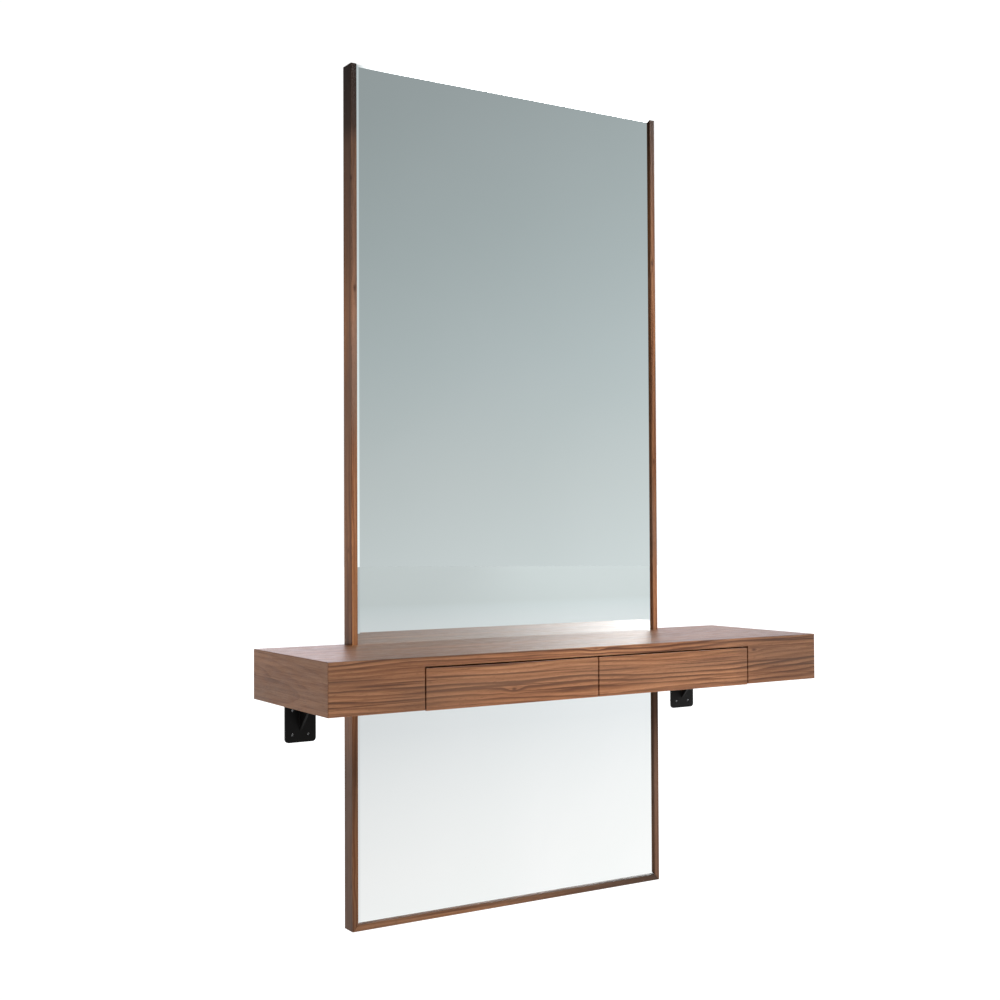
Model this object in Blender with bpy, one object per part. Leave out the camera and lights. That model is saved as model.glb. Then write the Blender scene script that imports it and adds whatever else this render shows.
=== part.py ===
"""Salon styling station: a tall wall mirror and a two-drawer shelf that is notched round its frame.

The wall's face is the plane y = 0 and the room is on its -Y side. +X is to the right of someone who
faces the mirror and +Z is up. The origin lies on the wall, on the station's centre line and level with
the underside of the shelf, where its two brackets carry it.
"""

import math

import bmesh
import bpy
from mathutils import Matrix, Vector

# ---- Clearances --------------------------------------------------------------------------------------
GAP = 0.0003  # between pieces that touch
OVERCUT = 0.004  # how far a cutter runs past the face that it cuts
SCREW_CLEARANCE = 0.0005  # radial, screw shank in its hole

# ---- Mirror ------------------------------------------------------------------------------------------
MIRROR_W = 0.8128
MIRROR_H = 1.8288
MIRROR_DROP = 0.4964  # how far the mirror hangs below the shelf's underside
FRAME_W = 0.0135  # front face of a stile or of the bottom rail
FRAME_D = 0.038
GLASS_T = 0.005
GLASS_RECESS = 0.0035  # the glass face behind the front of the frame
GLASS_BEVEL_W = 0.006
GLASS_BEVEL_D = 0.0015
BACKER_T = 0.006
GROOVE_D = 0.006  # groove in the frame that holds the backing board
TOP_RAIL_H = 0.060
BATTEN_H = 0.060
BATTEN_L = 0.660

# ---- Hanging cleats ----------------------------------------------------------------------------------
CLEAT_L = 0.600
CLEAT_T = 0.0028
CLEAT_PLATE_H = 0.030
CLEAT_LIP_H = 0.009
CLEAT_INSET = 0.005  # the frame cleat's plate above the lower edge of the top rail
CLEAT_SCREW_SPACING = 0.500
CLEAT_SCREW_COVER = 0.005  # wood left in front of the point of a frame cleat's screw

# ---- Shelf case --------------------------------------------------------------------------------------
SHELF_W = 1.2192
SHELF_D = 0.3556
SHELF_H = 0.1016
SKIN_T = 0.016  # top board, front frame and ends, which meet in mitres
BOTTOM_T = 0.012
PANEL_T = 0.015  # partitions and back rails
STRIP_COVER = 0.003  # how far the front frame's strip reaches below the top board
NOTCH_GAP = 0.0015  # between the mirror frame's sides and the shelf's notch
NOTCH_FIT = 0.0006  # between the mirror's front faces and the shelf
FINGER_GAP = 0.030  # open slot under the shelf, behind the drawer fronts

# ---- Drawers -----------------------------------------------------------------------------------------
DRAWER_GAP = 0.003  # the reveal round a drawer front
DRAWER_DROP = 0.0015  # how far a drawer front hangs below the shelf's underside
DRAWER_CLEAR = 0.004  # above and below a drawer box
DRAWER_BACK_ROOM = 0.020
DRAWER_SIDE_T = 0.012
DRAWER_BOTTOM_T = 0.005
DRAWER_BOTTOM_LIFT = 0.006
DADO_D = 0.005
PULL_LIP_T = 0.008  # what is left of a drawer front below its finger cove
PULL_LIP_H = 0.012

# ---- Drawer slides: three nested channels on each flank of a drawer ----------------------------------
SLIDE_SPACE = 0.0127  # side room that one slide takes
SLIDE_H = 0.035
SLIDE_STEEL = 0.0012
SLIDE_RACE = 0.003  # room for the balls between two nested members
SLIDE_WEB_GAP = 0.0008
SLIDE_SETBACK = 0.003
SLIDE_BACK_ROOM = 0.033

# ---- Brackets and screws -----------------------------------------------------------------------------
BRACKET_W = 0.069
BRACKET_H = 0.096
BRACKET_LEG = 0.2032
BRACKET_T = 0.005
BRACKET_CORNER_R = 0.008
GUSSET_T = 0.005
GUSSET_H = 0.072
GUSSET_D = 0.068
WALL_HOLES_X = 0.0355
WALL_HOLES_Z = 0.051
WALL_HOLE_EDGE = 0.016
LEG_HOLE_SPACING = 0.070
LEG_HOLE_EDGE = 0.026
SCREW_HEAD_R = 0.0046
SCREW_HEAD_H = 0.0028
SCREW_SHANK_R = 0.0025
SCREW_TIP = 0.006
WALL_SCREW_GRIP = 0.025  # length of a wall screw inside the wall
LEG_SCREW_COVER = 0.001  # board left above the point of a leg screw
SCREW_SIDES = 12
ARC_STEPS = 6

# ---- Places that several pieces share ----------------------------------------------------------------
MIRROR_BOTTOM = -MIRROR_DROP
MIRROR_TOP = MIRROR_H - MIRROR_DROP
MIRROR_HALF = MIRROR_W / 2
STILE_INNER = MIRROR_HALF - FRAME_W
GLASS_FRONT = -(FRAME_D - GLASS_RECESS)
GLASS_BACK = GLASS_FRONT + GLASS_T
BACKER_FRONT = GLASS_BACK + GAP
BACKER_BACK = BACKER_FRONT + BACKER_T
CLEAT_FRONT = -(2 * CLEAT_T + 2 * GAP)
TOP_RAIL_BACK = CLEAT_FRONT - GAP
CLEAT_SCREW_GRIP = TOP_RAIL_BACK - BACKER_FRONT - CLEAT_SCREW_COVER

MITRE_SHIFT = GAP / math.sqrt(2)  # each mitred edge steps back this far, so two faces stand GAP apart
SHELF_HALF = SHELF_W / 2
SHELF_FRONT = -SHELF_D
CASE_FRONT = SHELF_FRONT + SKIN_T
CASE_TOP = SHELF_H - SKIN_T
NOTCH_HALF = MIRROR_HALF + NOTCH_GAP
NOTCH_FRONT = -(FRAME_D + NOTCH_FIT)
OPENING_HALF = MIRROR_HALF + DRAWER_GAP / 2
OPENING_TOP = CASE_TOP - STRIP_COVER
BAY_HALF = NOTCH_HALF + 2 * GAP  # inner face of an outer partition
BACK_RAIL_FRONT = NOTCH_FRONT - PANEL_T
END_INNER = SHELF_HALF - SKIN_T
BRACKET_X = (BAY_HALF + PANEL_T + END_INNER) / 2

SLIDE_FRONT = CASE_FRONT + SLIDE_SETBACK
SLIDE_BACK = BACK_RAIL_FRONT - SLIDE_BACK_ROOM
DRAWER_BACK = BACK_RAIL_FRONT - DRAWER_BACK_ROOM
DRAWER_LOW = BOTTOM_T + DRAWER_CLEAR
DRAWER_HIGH = OPENING_TOP - DRAWER_CLEAR
SLIDE_Z = (DRAWER_LOW + DRAWER_HIGH) / 2
DRAWER_FLOOR_LOW = DRAWER_LOW + DRAWER_BOTTOM_LIFT
DRAWER_FLOOR_HIGH = DRAWER_FLOOR_LOW + DRAWER_BOTTOM_T

SIDES = {"left": -1, "right": 1}

# ---- Finishes: linear colour, roughness, metallic ----------------------------------------------------
WALNUT = ((0.262, 0.128, 0.068), 0.38, 0.0)
BIRCH_PLY = ((0.560, 0.420, 0.260), 0.55, 0.0)
SILVERED_GLASS = ((0.780, 0.820, 0.820), 0.02, 1.0)
BLACK_STEEL = ((0.012, 0.012, 0.013), 0.45, 0.4)
ZINC_STEEL = ((0.480, 0.490, 0.510), 0.32, 1.0)
ALUMINIUM = ((0.620, 0.630, 0.640), 0.35, 1.0)


# ---- Mesh helpers ------------------------------------------------------------------------------------
# How an outline's point and a place along the axis make a point in space.
PLACES = {
    "X": lambda u, v, w: (w, u, v),
    "Y": lambda u, v, w: (u, w, v),
    "Z": lambda u, v, w: (u, v, w),
}


def prism(outline, axis, low, high):
    """A mesh of an outline carried along an axis.

    The outline's points are (y, z), (x, z) or (x, y) for the axis X, Y or Z. Each end is one place on
    the axis, or a function of the outline's point, which gives a mitred end.
    """
    place = PLACES[axis]
    mesh = bmesh.new()
    rings = []
    for end in (low, high):
        reach = end if callable(end) else (lambda u, v, at=end: at)
        rings.append([mesh.verts.new(place(u, v, reach(u, v))) for u, v in outline])
    first, last = rings
    mesh.faces.new(first)
    mesh.faces.new(last)
    for i, corner in enumerate(first):
        j = (i + 1) % len(first)
        mesh.faces.new((corner, first[j], last[j], last[i]))
    bmesh.ops.recalc_face_normals(mesh, faces=mesh.faces)
    return mesh


def rectangle(low_u, high_u, low_v, high_v):
    """The four corners of a rectangle."""
    return [(low_u, low_v), (high_u, low_v), (high_u, high_v), (low_u, high_v)]


def block(x, y, z):
    """A box mesh between two places on each axis."""
    return prism(rectangle(*sorted(x), *sorted(y)), "Z", *sorted(z))


def frustum(axis, outer_at, outer, inner_at, inner):
    """A board whose edges are mitred: the rectangle `outer` on one face and `inner` on the other."""
    mesh = prism(rectangle(*outer), axis, outer_at, inner_at)
    mesh.verts.ensure_lookup_table()
    for vert, corner in zip(mesh.verts[4:], rectangle(*inner)):
        vert.co = PLACES[axis](*corner, inner_at)
    bmesh.ops.recalc_face_normals(mesh, faces=mesh.faces)
    return mesh


def arc(centre_u, centre_v, radius, start, stop, steps=ARC_STEPS):
    """Points along an arc, with both of its ends; angles in degrees."""
    turns = [math.radians(start + (stop - start) * i / steps) for i in range(steps + 1)]
    return [(centre_u + radius * math.cos(t), centre_v + radius * math.sin(t)) for t in turns]


def turned(profile, sides):
    """A mesh turned about Z from a profile of (radius, height) that starts and ends on the axis."""
    mesh = bmesh.new()
    top, *rings, bottom = profile
    loops = []
    for radius, height in rings:
        turns = [math.tau * i / sides for i in range(sides)]
        loops.append([mesh.verts.new((radius * math.cos(t), radius * math.sin(t), height)) for t in turns])
    peak = mesh.verts.new((0, 0, top[1]))
    point = mesh.verts.new((0, 0, bottom[1]))
    for i in range(sides):
        j = (i + 1) % sides
        mesh.faces.new((peak, loops[0][i], loops[0][j]))
        mesh.faces.new((point, loops[-1][j], loops[-1][i]))
        for upper, lower in zip(loops, loops[1:]):
            mesh.faces.new((upper[i], lower[i], lower[j], upper[j]))
    bmesh.ops.recalc_face_normals(mesh, faces=mesh.faces)
    return mesh


def hole(mouth, direction, depth):
    """The cutter of a screw's hole: it starts just outside its mouth and ends at its depth."""
    mesh = bmesh.new()
    radius = SCREW_SHANK_R + SCREW_CLEARANCE
    turn = Vector((0, 0, 1)).rotation_difference(Vector(direction)).to_matrix().to_4x4()
    middle = Vector(mouth) + Vector(direction) * (depth - OVERCUT) / 2
    bmesh.ops.create_cone(
        mesh,
        cap_ends=True,
        segments=2 * SCREW_SIDES,
        radius1=radius,
        radius2=radius,
        depth=depth + OVERCUT,
        matrix=Matrix.Translation(middle) @ turn,
    )
    return mesh


def join(meshes):
    """One mesh that holds several separate cutters."""
    whole = bmesh.new()
    for mesh in meshes:
        part = bpy.data.meshes.new("part")
        mesh.to_mesh(part)
        mesh.free()
        whole.from_mesh(part)
        bpy.data.meshes.remove(part)
    return whole


# ---- Objects -----------------------------------------------------------------------------------------
def clear_scene():
    """Removes every object of the file."""
    for thing in list(bpy.data.objects):
        bpy.data.objects.remove(thing, do_unlink=True)


def add_body(name, place):
    """An empty that carries the pieces of one moving or fixed body."""
    empty = bpy.data.objects.new(name, None)
    empty.location = place
    empty.empty_display_size = 0.05
    bpy.context.scene.collection.objects.link(empty)
    return empty


def add_object(name, mesh):
    """An object with its origin at the middle of its mesh."""
    corners = [vert.co for vert in mesh.verts]
    low = Vector([min(c[i] for c in corners) for i in range(3)])
    high = Vector([max(c[i] for c in corners) for i in range(3)])
    middle = (low + high) / 2
    bmesh.ops.translate(mesh, verts=mesh.verts, vec=-middle)
    data = bpy.data.meshes.new(name)
    mesh.to_mesh(data)
    mesh.free()
    thing = bpy.data.objects.new(name, data)
    thing.location = middle
    bpy.context.scene.collection.objects.link(thing)
    return thing


def dress(thing, finish):
    """Gives a piece its own Principled material."""
    colour, roughness, metallic = finish
    material = bpy.data.materials.new(f"{thing.name}_finish")
    material.use_nodes = True
    shader = material.node_tree.nodes["Principled BSDF"]
    shader.inputs["Base Color"].default_value = (*colour, 1.0)
    shader.inputs["Roughness"].default_value = roughness
    shader.inputs["Metallic"].default_value = metallic
    material.diffuse_color = (*colour, 1.0)
    thing.data.materials.append(material)


def add_piece(name, mesh, finish, body):
    """A named piece that rides on a body."""
    thing = add_object(name, mesh)
    dress(thing, finish)
    thing.parent = body
    thing.location -= body.location
    return thing


def combine(thing, mesh, name, operation):
    """Cuts a helper out of a piece, or joins it on."""
    helper = add_object(name, mesh)
    helper.hide_render = True
    helper.display_type = "WIRE"
    modifier = thing.modifiers.new(name, "BOOLEAN")
    modifier.operation = operation
    modifier.solver = "EXACT"
    modifier.object = helper


def cut(thing, mesh, name):
    """Cuts a shape out of a piece."""
    combine(thing, mesh, f"{thing.name}_{name}_cutter", "DIFFERENCE")


# ---- Mirror ------------------------------------------------------------------------------------------
def stile_foot(x, _y):
    """The height of a stile's mitred foot, which rises one for one from the outer face inwards."""
    return MIRROR_BOTTOM + MIRROR_HALF - abs(x) + MITRE_SHIFT


def rail_reach(_y, z):
    """How far the bottom rail's mitred end reaches from the centre line at a height."""
    return MIRROR_HALF - (z - MIRROR_BOTTOM) - MITRE_SHIFT


def build_mirror(body):
    """The framed glass, with its backing board and the batten that keeps its lower part off the wall."""
    groove_front = BACKER_FRONT - GAP
    groove_back = BACKER_BACK + GAP
    for side, sign in SIDES.items():
        outer, inner = sign * MIRROR_HALF, sign * STILE_INNER
        groove = inner + sign * GROOVE_D
        outline = [
            (outer, -FRAME_D),
            (inner, -FRAME_D),
            (inner, groove_front),
            (groove, groove_front),
            (groove, groove_back),
            (inner, groove_back),
            (inner, 0.0),
            (outer, 0.0),
        ]
        add_piece(f"stile_{side}", prism(outline, "Z", stile_foot, MIRROR_TOP), WALNUT, body)

    rail_top = MIRROR_BOTTOM + FRAME_W
    outline = [
        (-FRAME_D, MIRROR_BOTTOM),
        (-FRAME_D, rail_top),
        (groove_front, rail_top),
        (groove_front, rail_top - GROOVE_D),
        (groove_back, rail_top - GROOVE_D),
        (groove_back, rail_top),
        (0.0, rail_top),
        (0.0, MIRROR_BOTTOM),
    ]
    rail = prism(outline, "X", lambda y, z: -rail_reach(y, z), rail_reach)
    add_piece("bottom_rail", rail, WALNUT, body)

    glass_half = STILE_INNER - GAP
    face_half = glass_half - GLASS_BEVEL_W
    bevel_back = GLASS_FRONT + GLASS_BEVEL_D
    sheet = block((-glass_half, glass_half), (bevel_back, GLASS_BACK), (rail_top + GAP, MIRROR_TOP))
    face_low = rail_top + GAP + GLASS_BEVEL_W
    face_high = MIRROR_TOP - GLASS_BEVEL_W
    front = [face for face in sheet.faces if face.normal.y < -0.5]
    raised = bmesh.ops.extrude_discrete_faces(sheet, faces=front)["faces"]
    for vert in raised[0].verts:
        vert.co.x = max(-face_half, min(face_half, vert.co.x))
        vert.co.z = max(face_low, min(face_high, vert.co.z))
        vert.co.y = GLASS_FRONT
    add_piece("mirror_glass", sheet, SILVERED_GLASS, body)

    rail_low = MIRROR_TOP - TOP_RAIL_H
    tongue = STILE_INNER + GROOVE_D - GAP
    body_half = STILE_INNER - GAP
    right = [
        (body_half, BACKER_FRONT),
        (tongue, BACKER_FRONT),
        (tongue, BACKER_BACK),
        (body_half, BACKER_BACK),
        (body_half, TOP_RAIL_BACK),
    ]
    outline = right + [(-x, y) for x, y in reversed(right)]
    rail = add_piece("top_rail", prism(outline, "Z", rail_low, MIRROR_TOP), WALNUT, body)
    pilots = []
    for x, z in frame_cleat_screw_places():
        depth = CLEAT_SCREW_GRIP + SCREW_CLEARANCE
        pilots.append(hole((x, TOP_RAIL_BACK, z), (0, -1, 0), depth))
    cut(rail, join(pilots), "pilot_holes")

    board_low = rail_top - GROOVE_D + GAP
    board = block((-tongue, tongue), (BACKER_FRONT, BACKER_BACK), (board_low, rail_low - GAP))
    add_piece("backing_board", board, BIRCH_PLY, body)

    batten = block(
        (-BATTEN_L / 2, BATTEN_L / 2), (BACKER_BACK + GAP, 0.0), (-BATTEN_H / 2, BATTEN_H / 2)
    )
    add_piece("lower_batten", batten, WALNUT, body)


def frame_cleat_screw_places():
    """Where the two screws of the frame cleat go, as (x, z)."""
    z = MIRROR_TOP - TOP_RAIL_H + CLEAT_INSET + CLEAT_PLATE_H / 2
    return [(sign * CLEAT_SCREW_SPACING / 2, z) for sign in SIDES.values()]


def build_cleats(body):
    """Two interlocking rails: the frame's lip hangs behind the wall's lip."""
    inner = -(CLEAT_T + GAP)  # front of the layer against the wall
    outer = inner - GAP  # back of the layer in front of it
    low = MIRROR_TOP - TOP_RAIL_H + CLEAT_INSET
    lip_end = low - CLEAT_T - CLEAT_LIP_H
    frame = [
        (CLEAT_FRONT, low + CLEAT_PLATE_H),
        (outer, low + CLEAT_PLATE_H),
        (outer, low),
        (-GAP, low),
        (-GAP, lip_end),
        (inner, lip_end),
        (inner, low - CLEAT_T),
        (CLEAT_FRONT, low - CLEAT_T),
    ]
    span = (-CLEAT_L / 2, CLEAT_L / 2)
    hanger = add_piece("frame_cleat", prism(frame, "X", *span), ALUMINIUM, body)
    holes = []
    for side, (x, z) in zip(SIDES, frame_cleat_screw_places()):
        place = (x, outer, z)
        holes.append(hole(place, (0, -1, 0), CLEAT_T + OVERCUT))
        length = CLEAT_T + GAP + CLEAT_SCREW_GRIP
        add_screw(f"frame_cleat_screw_{side}", place, (0, -1, 0), length, body)
    cut(hanger, join(holes), "screw_holes")

    step = lip_end - GAP - CLEAT_T
    wall = [
        (0.0, step - CLEAT_PLATE_H),
        (-CLEAT_T, step - CLEAT_PLATE_H),
        (-CLEAT_T, step),
        (CLEAT_FRONT, step),
        (CLEAT_FRONT, step + CLEAT_T + CLEAT_LIP_H),
        (outer, step + CLEAT_T + CLEAT_LIP_H),
        (outer, step + CLEAT_T),
        (0.0, step + CLEAT_T),
    ]
    cleat = add_piece("wall_cleat", prism(wall, "X", *span), ALUMINIUM, body)
    holes = []
    for side, sign in SIDES.items():
        place = (sign * CLEAT_SCREW_SPACING / 2, -CLEAT_T, step - CLEAT_PLATE_H / 2)
        holes.append(hole(place, (0, 1, 0), CLEAT_T + OVERCUT))
        add_screw(f"wall_cleat_screw_{side}", place, (0, 1, 0), CLEAT_T + WALL_SCREW_GRIP, body)
    cut(cleat, join(holes), "screw_holes")


# ---- Screws ------------------------------------------------------------------------------------------
def add_screw(name, place, direction, length, body):
    """A pan-head screw whose head bears at `place` and whose shank runs along `direction`."""
    profile = [
        (0.0, SCREW_HEAD_H),
        (0.55 * SCREW_HEAD_R, SCREW_HEAD_H),
        (0.88 * SCREW_HEAD_R, 0.68 * SCREW_HEAD_H),
        (SCREW_HEAD_R, 0.25 * SCREW_HEAD_H),
        (SCREW_HEAD_R, GAP),
        (SCREW_SHANK_R, GAP),
        (SCREW_SHANK_R, SCREW_TIP - length),
        (0.0, -length),
    ]
    mesh = turned(profile, SCREW_SIDES)
    turn = Vector((0, 0, -1)).rotation_difference(Vector(direction)).to_matrix().to_4x4()
    bmesh.ops.transform(mesh, matrix=Matrix.Translation(place) @ turn, verts=mesh.verts)
    screw = add_piece(name, mesh, ZINC_STEEL, body)
    screw.data.shade_smooth()
    screw.data.set_sharp_from_angle(angle=math.radians(35))


# ---- Shelf case --------------------------------------------------------------------------------------
def mirror_notch(low, high):
    """The cutter that lets a board pass round the mirror frame and reach its glass between the stiles."""
    tongue_half = STILE_INNER - NOTCH_FIT
    tongue_back = GLASS_FRONT - NOTCH_FIT
    right = [
        (NOTCH_HALF, OVERCUT),
        (NOTCH_HALF, NOTCH_FRONT),
        (tongue_half, NOTCH_FRONT),
        (tongue_half, tongue_back),
    ]
    outline = right + [(-x, y) for x, y in reversed(right)]
    return prism(outline, "Z", low - OVERCUT, high + OVERCUT)


def leg_screw_places(sign):
    """Where the two screws go up through a bracket's leg, front one first, as (x, y)."""
    front = -BRACKET_LEG + LEG_HOLE_EDGE
    return [(sign * BRACKET_X, front + i * LEG_HOLE_SPACING) for i in range(2)]


def build_case(body):
    """The shelf's box: outer skin in mitred boards, floor, partitions and back rails."""
    skin_half = SHELF_HALF - MITRE_SHIFT
    skin_front = SHELF_FRONT + MITRE_SHIFT
    top = frustum(
        "Z",
        SHELF_H,
        (-skin_half, skin_half, skin_front, 0.0),
        CASE_TOP,
        (-skin_half + SKIN_T, skin_half - SKIN_T, skin_front + SKIN_T, 0.0),
    )
    top_board = add_piece("top_board", top, WALNUT, body)
    cut(top_board, mirror_notch(CASE_TOP, SHELF_H), "notch")

    rim = SHELF_H - MITRE_SHIFT
    front = frustum(
        "Y",
        SHELF_FRONT,
        (-skin_half, skin_half, 0.0, rim),
        CASE_FRONT,
        (-skin_half + SKIN_T, skin_half - SKIN_T, 0.0, rim - SKIN_T),
    )
    front_frame = add_piece("front_frame", front, WALNUT, body)
    opening = block(
        (-OPENING_HALF, OPENING_HALF),
        (SHELF_FRONT - OVERCUT, CASE_FRONT + OVERCUT),
        (-OVERCUT, OPENING_TOP),
    )
    cut(front_frame, opening, "drawer_opening")

    for side, sign in SIDES.items():
        end = frustum(
            "X",
            sign * SHELF_HALF,
            (skin_front, 0.0, 0.0, rim),
            sign * END_INNER,
            (skin_front + SKIN_T, 0.0, 0.0, rim - SKIN_T),
        )
        add_piece(f"end_{side}", end, WALNUT, body)

    floor_half = END_INNER - GAP
    floor = block((-floor_half, floor_half), (CASE_FRONT + GAP, 0.0), (0.0, BOTTOM_T))
    bottom_board = add_piece("bottom_board", floor, WALNUT, body)
    cut(bottom_board, mirror_notch(0.0, BOTTOM_T), "notch")
    slot = block(
        (-OPENING_HALF, OPENING_HALF),
        (CASE_FRONT - OVERCUT, CASE_FRONT + FINGER_GAP),
        (-OVERCUT, BOTTOM_T + OVERCUT),
    )
    cut(bottom_board, slot, "finger_slot")
    pilots = [
        hole((x, y, 0.0), (0, 0, 1), BOTTOM_T + OVERCUT)
        for sign in SIDES.values()
        for x, y in leg_screw_places(sign)
    ]
    cut(bottom_board, join(pilots), "pilot_holes")

    inside = (BOTTOM_T + GAP, CASE_TOP - GAP)
    for side, sign in SIDES.items():
        near, far = sign * BAY_HALF, sign * (BAY_HALF + PANEL_T)
        panel = block((near, far), (CASE_FRONT + GAP, 0.0), inside)
        add_piece(f"partition_{side}", panel, BIRCH_PLY, body)
        rail = block((far + sign * GAP, sign * (END_INNER - GAP)), (-PANEL_T, 0.0), inside)
        add_piece(f"back_rail_{side}", rail, BIRCH_PLY, body)

    panel = block((-PANEL_T / 2, PANEL_T / 2), (CASE_FRONT + GAP, BACK_RAIL_FRONT - GAP), inside)
    add_piece("partition_centre", panel, BIRCH_PLY, body)
    rail = block((-(BAY_HALF - GAP), BAY_HALF - GAP), (BACK_RAIL_FRONT, NOTCH_FRONT), inside)
    add_piece("back_rail_centre", rail, BIRCH_PLY, body)


# ---- Drawers -----------------------------------------------------------------------------------------
def build_drawer(side, sign, body):
    """One drawer: a front with a finger cove along its lower edge, and a box with a grooved-in bottom."""
    low = -DRAWER_DROP
    cove_low = low + PULL_LIP_H
    profile = [(SHELF_FRONT, low), (SHELF_FRONT + PULL_LIP_T, low)]
    profile += arc(CASE_FRONT, cove_low, SKIN_T - PULL_LIP_T, 180, 90)
    profile += [(CASE_FRONT, OPENING_TOP - DRAWER_GAP), (SHELF_FRONT, OPENING_TOP - DRAWER_GAP)]
    near = sign * DRAWER_GAP / 2
    far = sign * (MIRROR_HALF - DRAWER_GAP / 2)
    front = add_piece(
        f"drawer_{side}_front", prism(profile, "X", min(near, far), max(near, far)), WALNUT, body
    )

    inner = PANEL_T / 2 + SLIDE_SPACE
    outer = BAY_HALF - SLIDE_SPACE
    floor = (inner + DRAWER_SIDE_T - DADO_D + GAP, outer - DRAWER_SIDE_T + DADO_D - GAP)
    groove = block(
        (sign * (floor[0] - GAP), sign * (floor[1] + GAP)),
        (CASE_FRONT - DADO_D, CASE_FRONT + OVERCUT),
        (DRAWER_FLOOR_LOW - GAP, DRAWER_FLOOR_HIGH + GAP),
    )
    cut(front, groove, "floor_groove")

    for flank, face, inward in (("inner", inner, 1), ("outer", outer, -1)):
        wall = face + inward * DRAWER_SIDE_T
        dado = wall - inward * DADO_D
        outline = [
            (face, DRAWER_LOW),
            (wall, DRAWER_LOW),
            (wall, DRAWER_FLOOR_LOW - GAP),
            (dado, DRAWER_FLOOR_LOW - GAP),
            (dado, DRAWER_FLOOR_HIGH + GAP),
            (wall, DRAWER_FLOOR_HIGH + GAP),
            (wall, DRAWER_HIGH),
            (face, DRAWER_HIGH),
        ]
        outline = [(sign * x, z) for x, z in outline]
        panel = prism(outline, "Y", CASE_FRONT + GAP, DRAWER_BACK)
        add_piece(f"drawer_{side}_{flank}_side", panel, BIRCH_PLY, body)

    bottom = block(
        (sign * floor[0], sign * floor[1]),
        (CASE_FRONT - DADO_D + GAP, DRAWER_BACK),
        (DRAWER_FLOOR_LOW, DRAWER_FLOOR_HIGH),
    )
    add_piece(f"drawer_{side}_bottom", bottom, BIRCH_PLY, body)
    between = (sign * (inner + DRAWER_SIDE_T + GAP), sign * (outer - DRAWER_SIDE_T - GAP))
    above = (DRAWER_FLOOR_HIGH + GAP, DRAWER_HIGH)
    back = block(between, (DRAWER_BACK - DRAWER_SIDE_T, DRAWER_BACK), above)
    add_piece(f"drawer_{side}_back", back, BIRCH_PLY, body)


def channel(web_near, web_far, tips, half):
    """The outline of a channel: its web between two places, its flanges out to `tips`."""
    lip = half - SLIDE_STEEL
    return [
        (web_near, -half),
        (tips, -half),
        (tips, -lip),
        (web_far, -lip),
        (web_far, lip),
        (tips, lip),
        (tips, half),
        (web_near, half),
    ]


def build_slides(side, sign, case, middle, drawer):
    """The two telescopic slides of a drawer, one on each flank."""
    cabinet_half = SLIDE_H / 2
    middle_half = cabinet_half - SLIDE_STEEL - SLIDE_RACE
    drawer_half = middle_half - SLIDE_STEEL - SLIDE_RACE
    cabinet_web = GAP + SLIDE_STEEL
    middle_near = cabinet_web + SLIDE_WEB_GAP
    middle_far = middle_near + SLIDE_STEEL
    drawer_web = SLIDE_SPACE - GAP
    cabinet_tips = SLIDE_SPACE - SLIDE_RACE
    middle_tips = cabinet_tips + SLIDE_WEB_GAP
    drawer_tips = middle_far + SLIDE_WEB_GAP
    members = {
        "cabinet": (channel(GAP, cabinet_web, cabinet_tips, cabinet_half), case),
        "middle": (channel(middle_near, middle_far, middle_tips, middle_half), middle),
        "drawer": (channel(drawer_web, drawer_web - SLIDE_STEEL, drawer_tips, drawer_half), drawer),
    }
    flanks = {"outer": (BAY_HALF, -1), "inner": (PANEL_T / 2, 1)}
    for flank, (start, inward) in flanks.items():
        for member, (outline, body) in members.items():
            placed = [(sign * (start + inward * u), SLIDE_Z + v) for u, v in outline]
            mesh = prism(placed, "Y", SLIDE_FRONT, SLIDE_BACK)
            add_piece(f"slide_{side}_{flank}_{member}", mesh, ZINC_STEEL, body)


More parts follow.
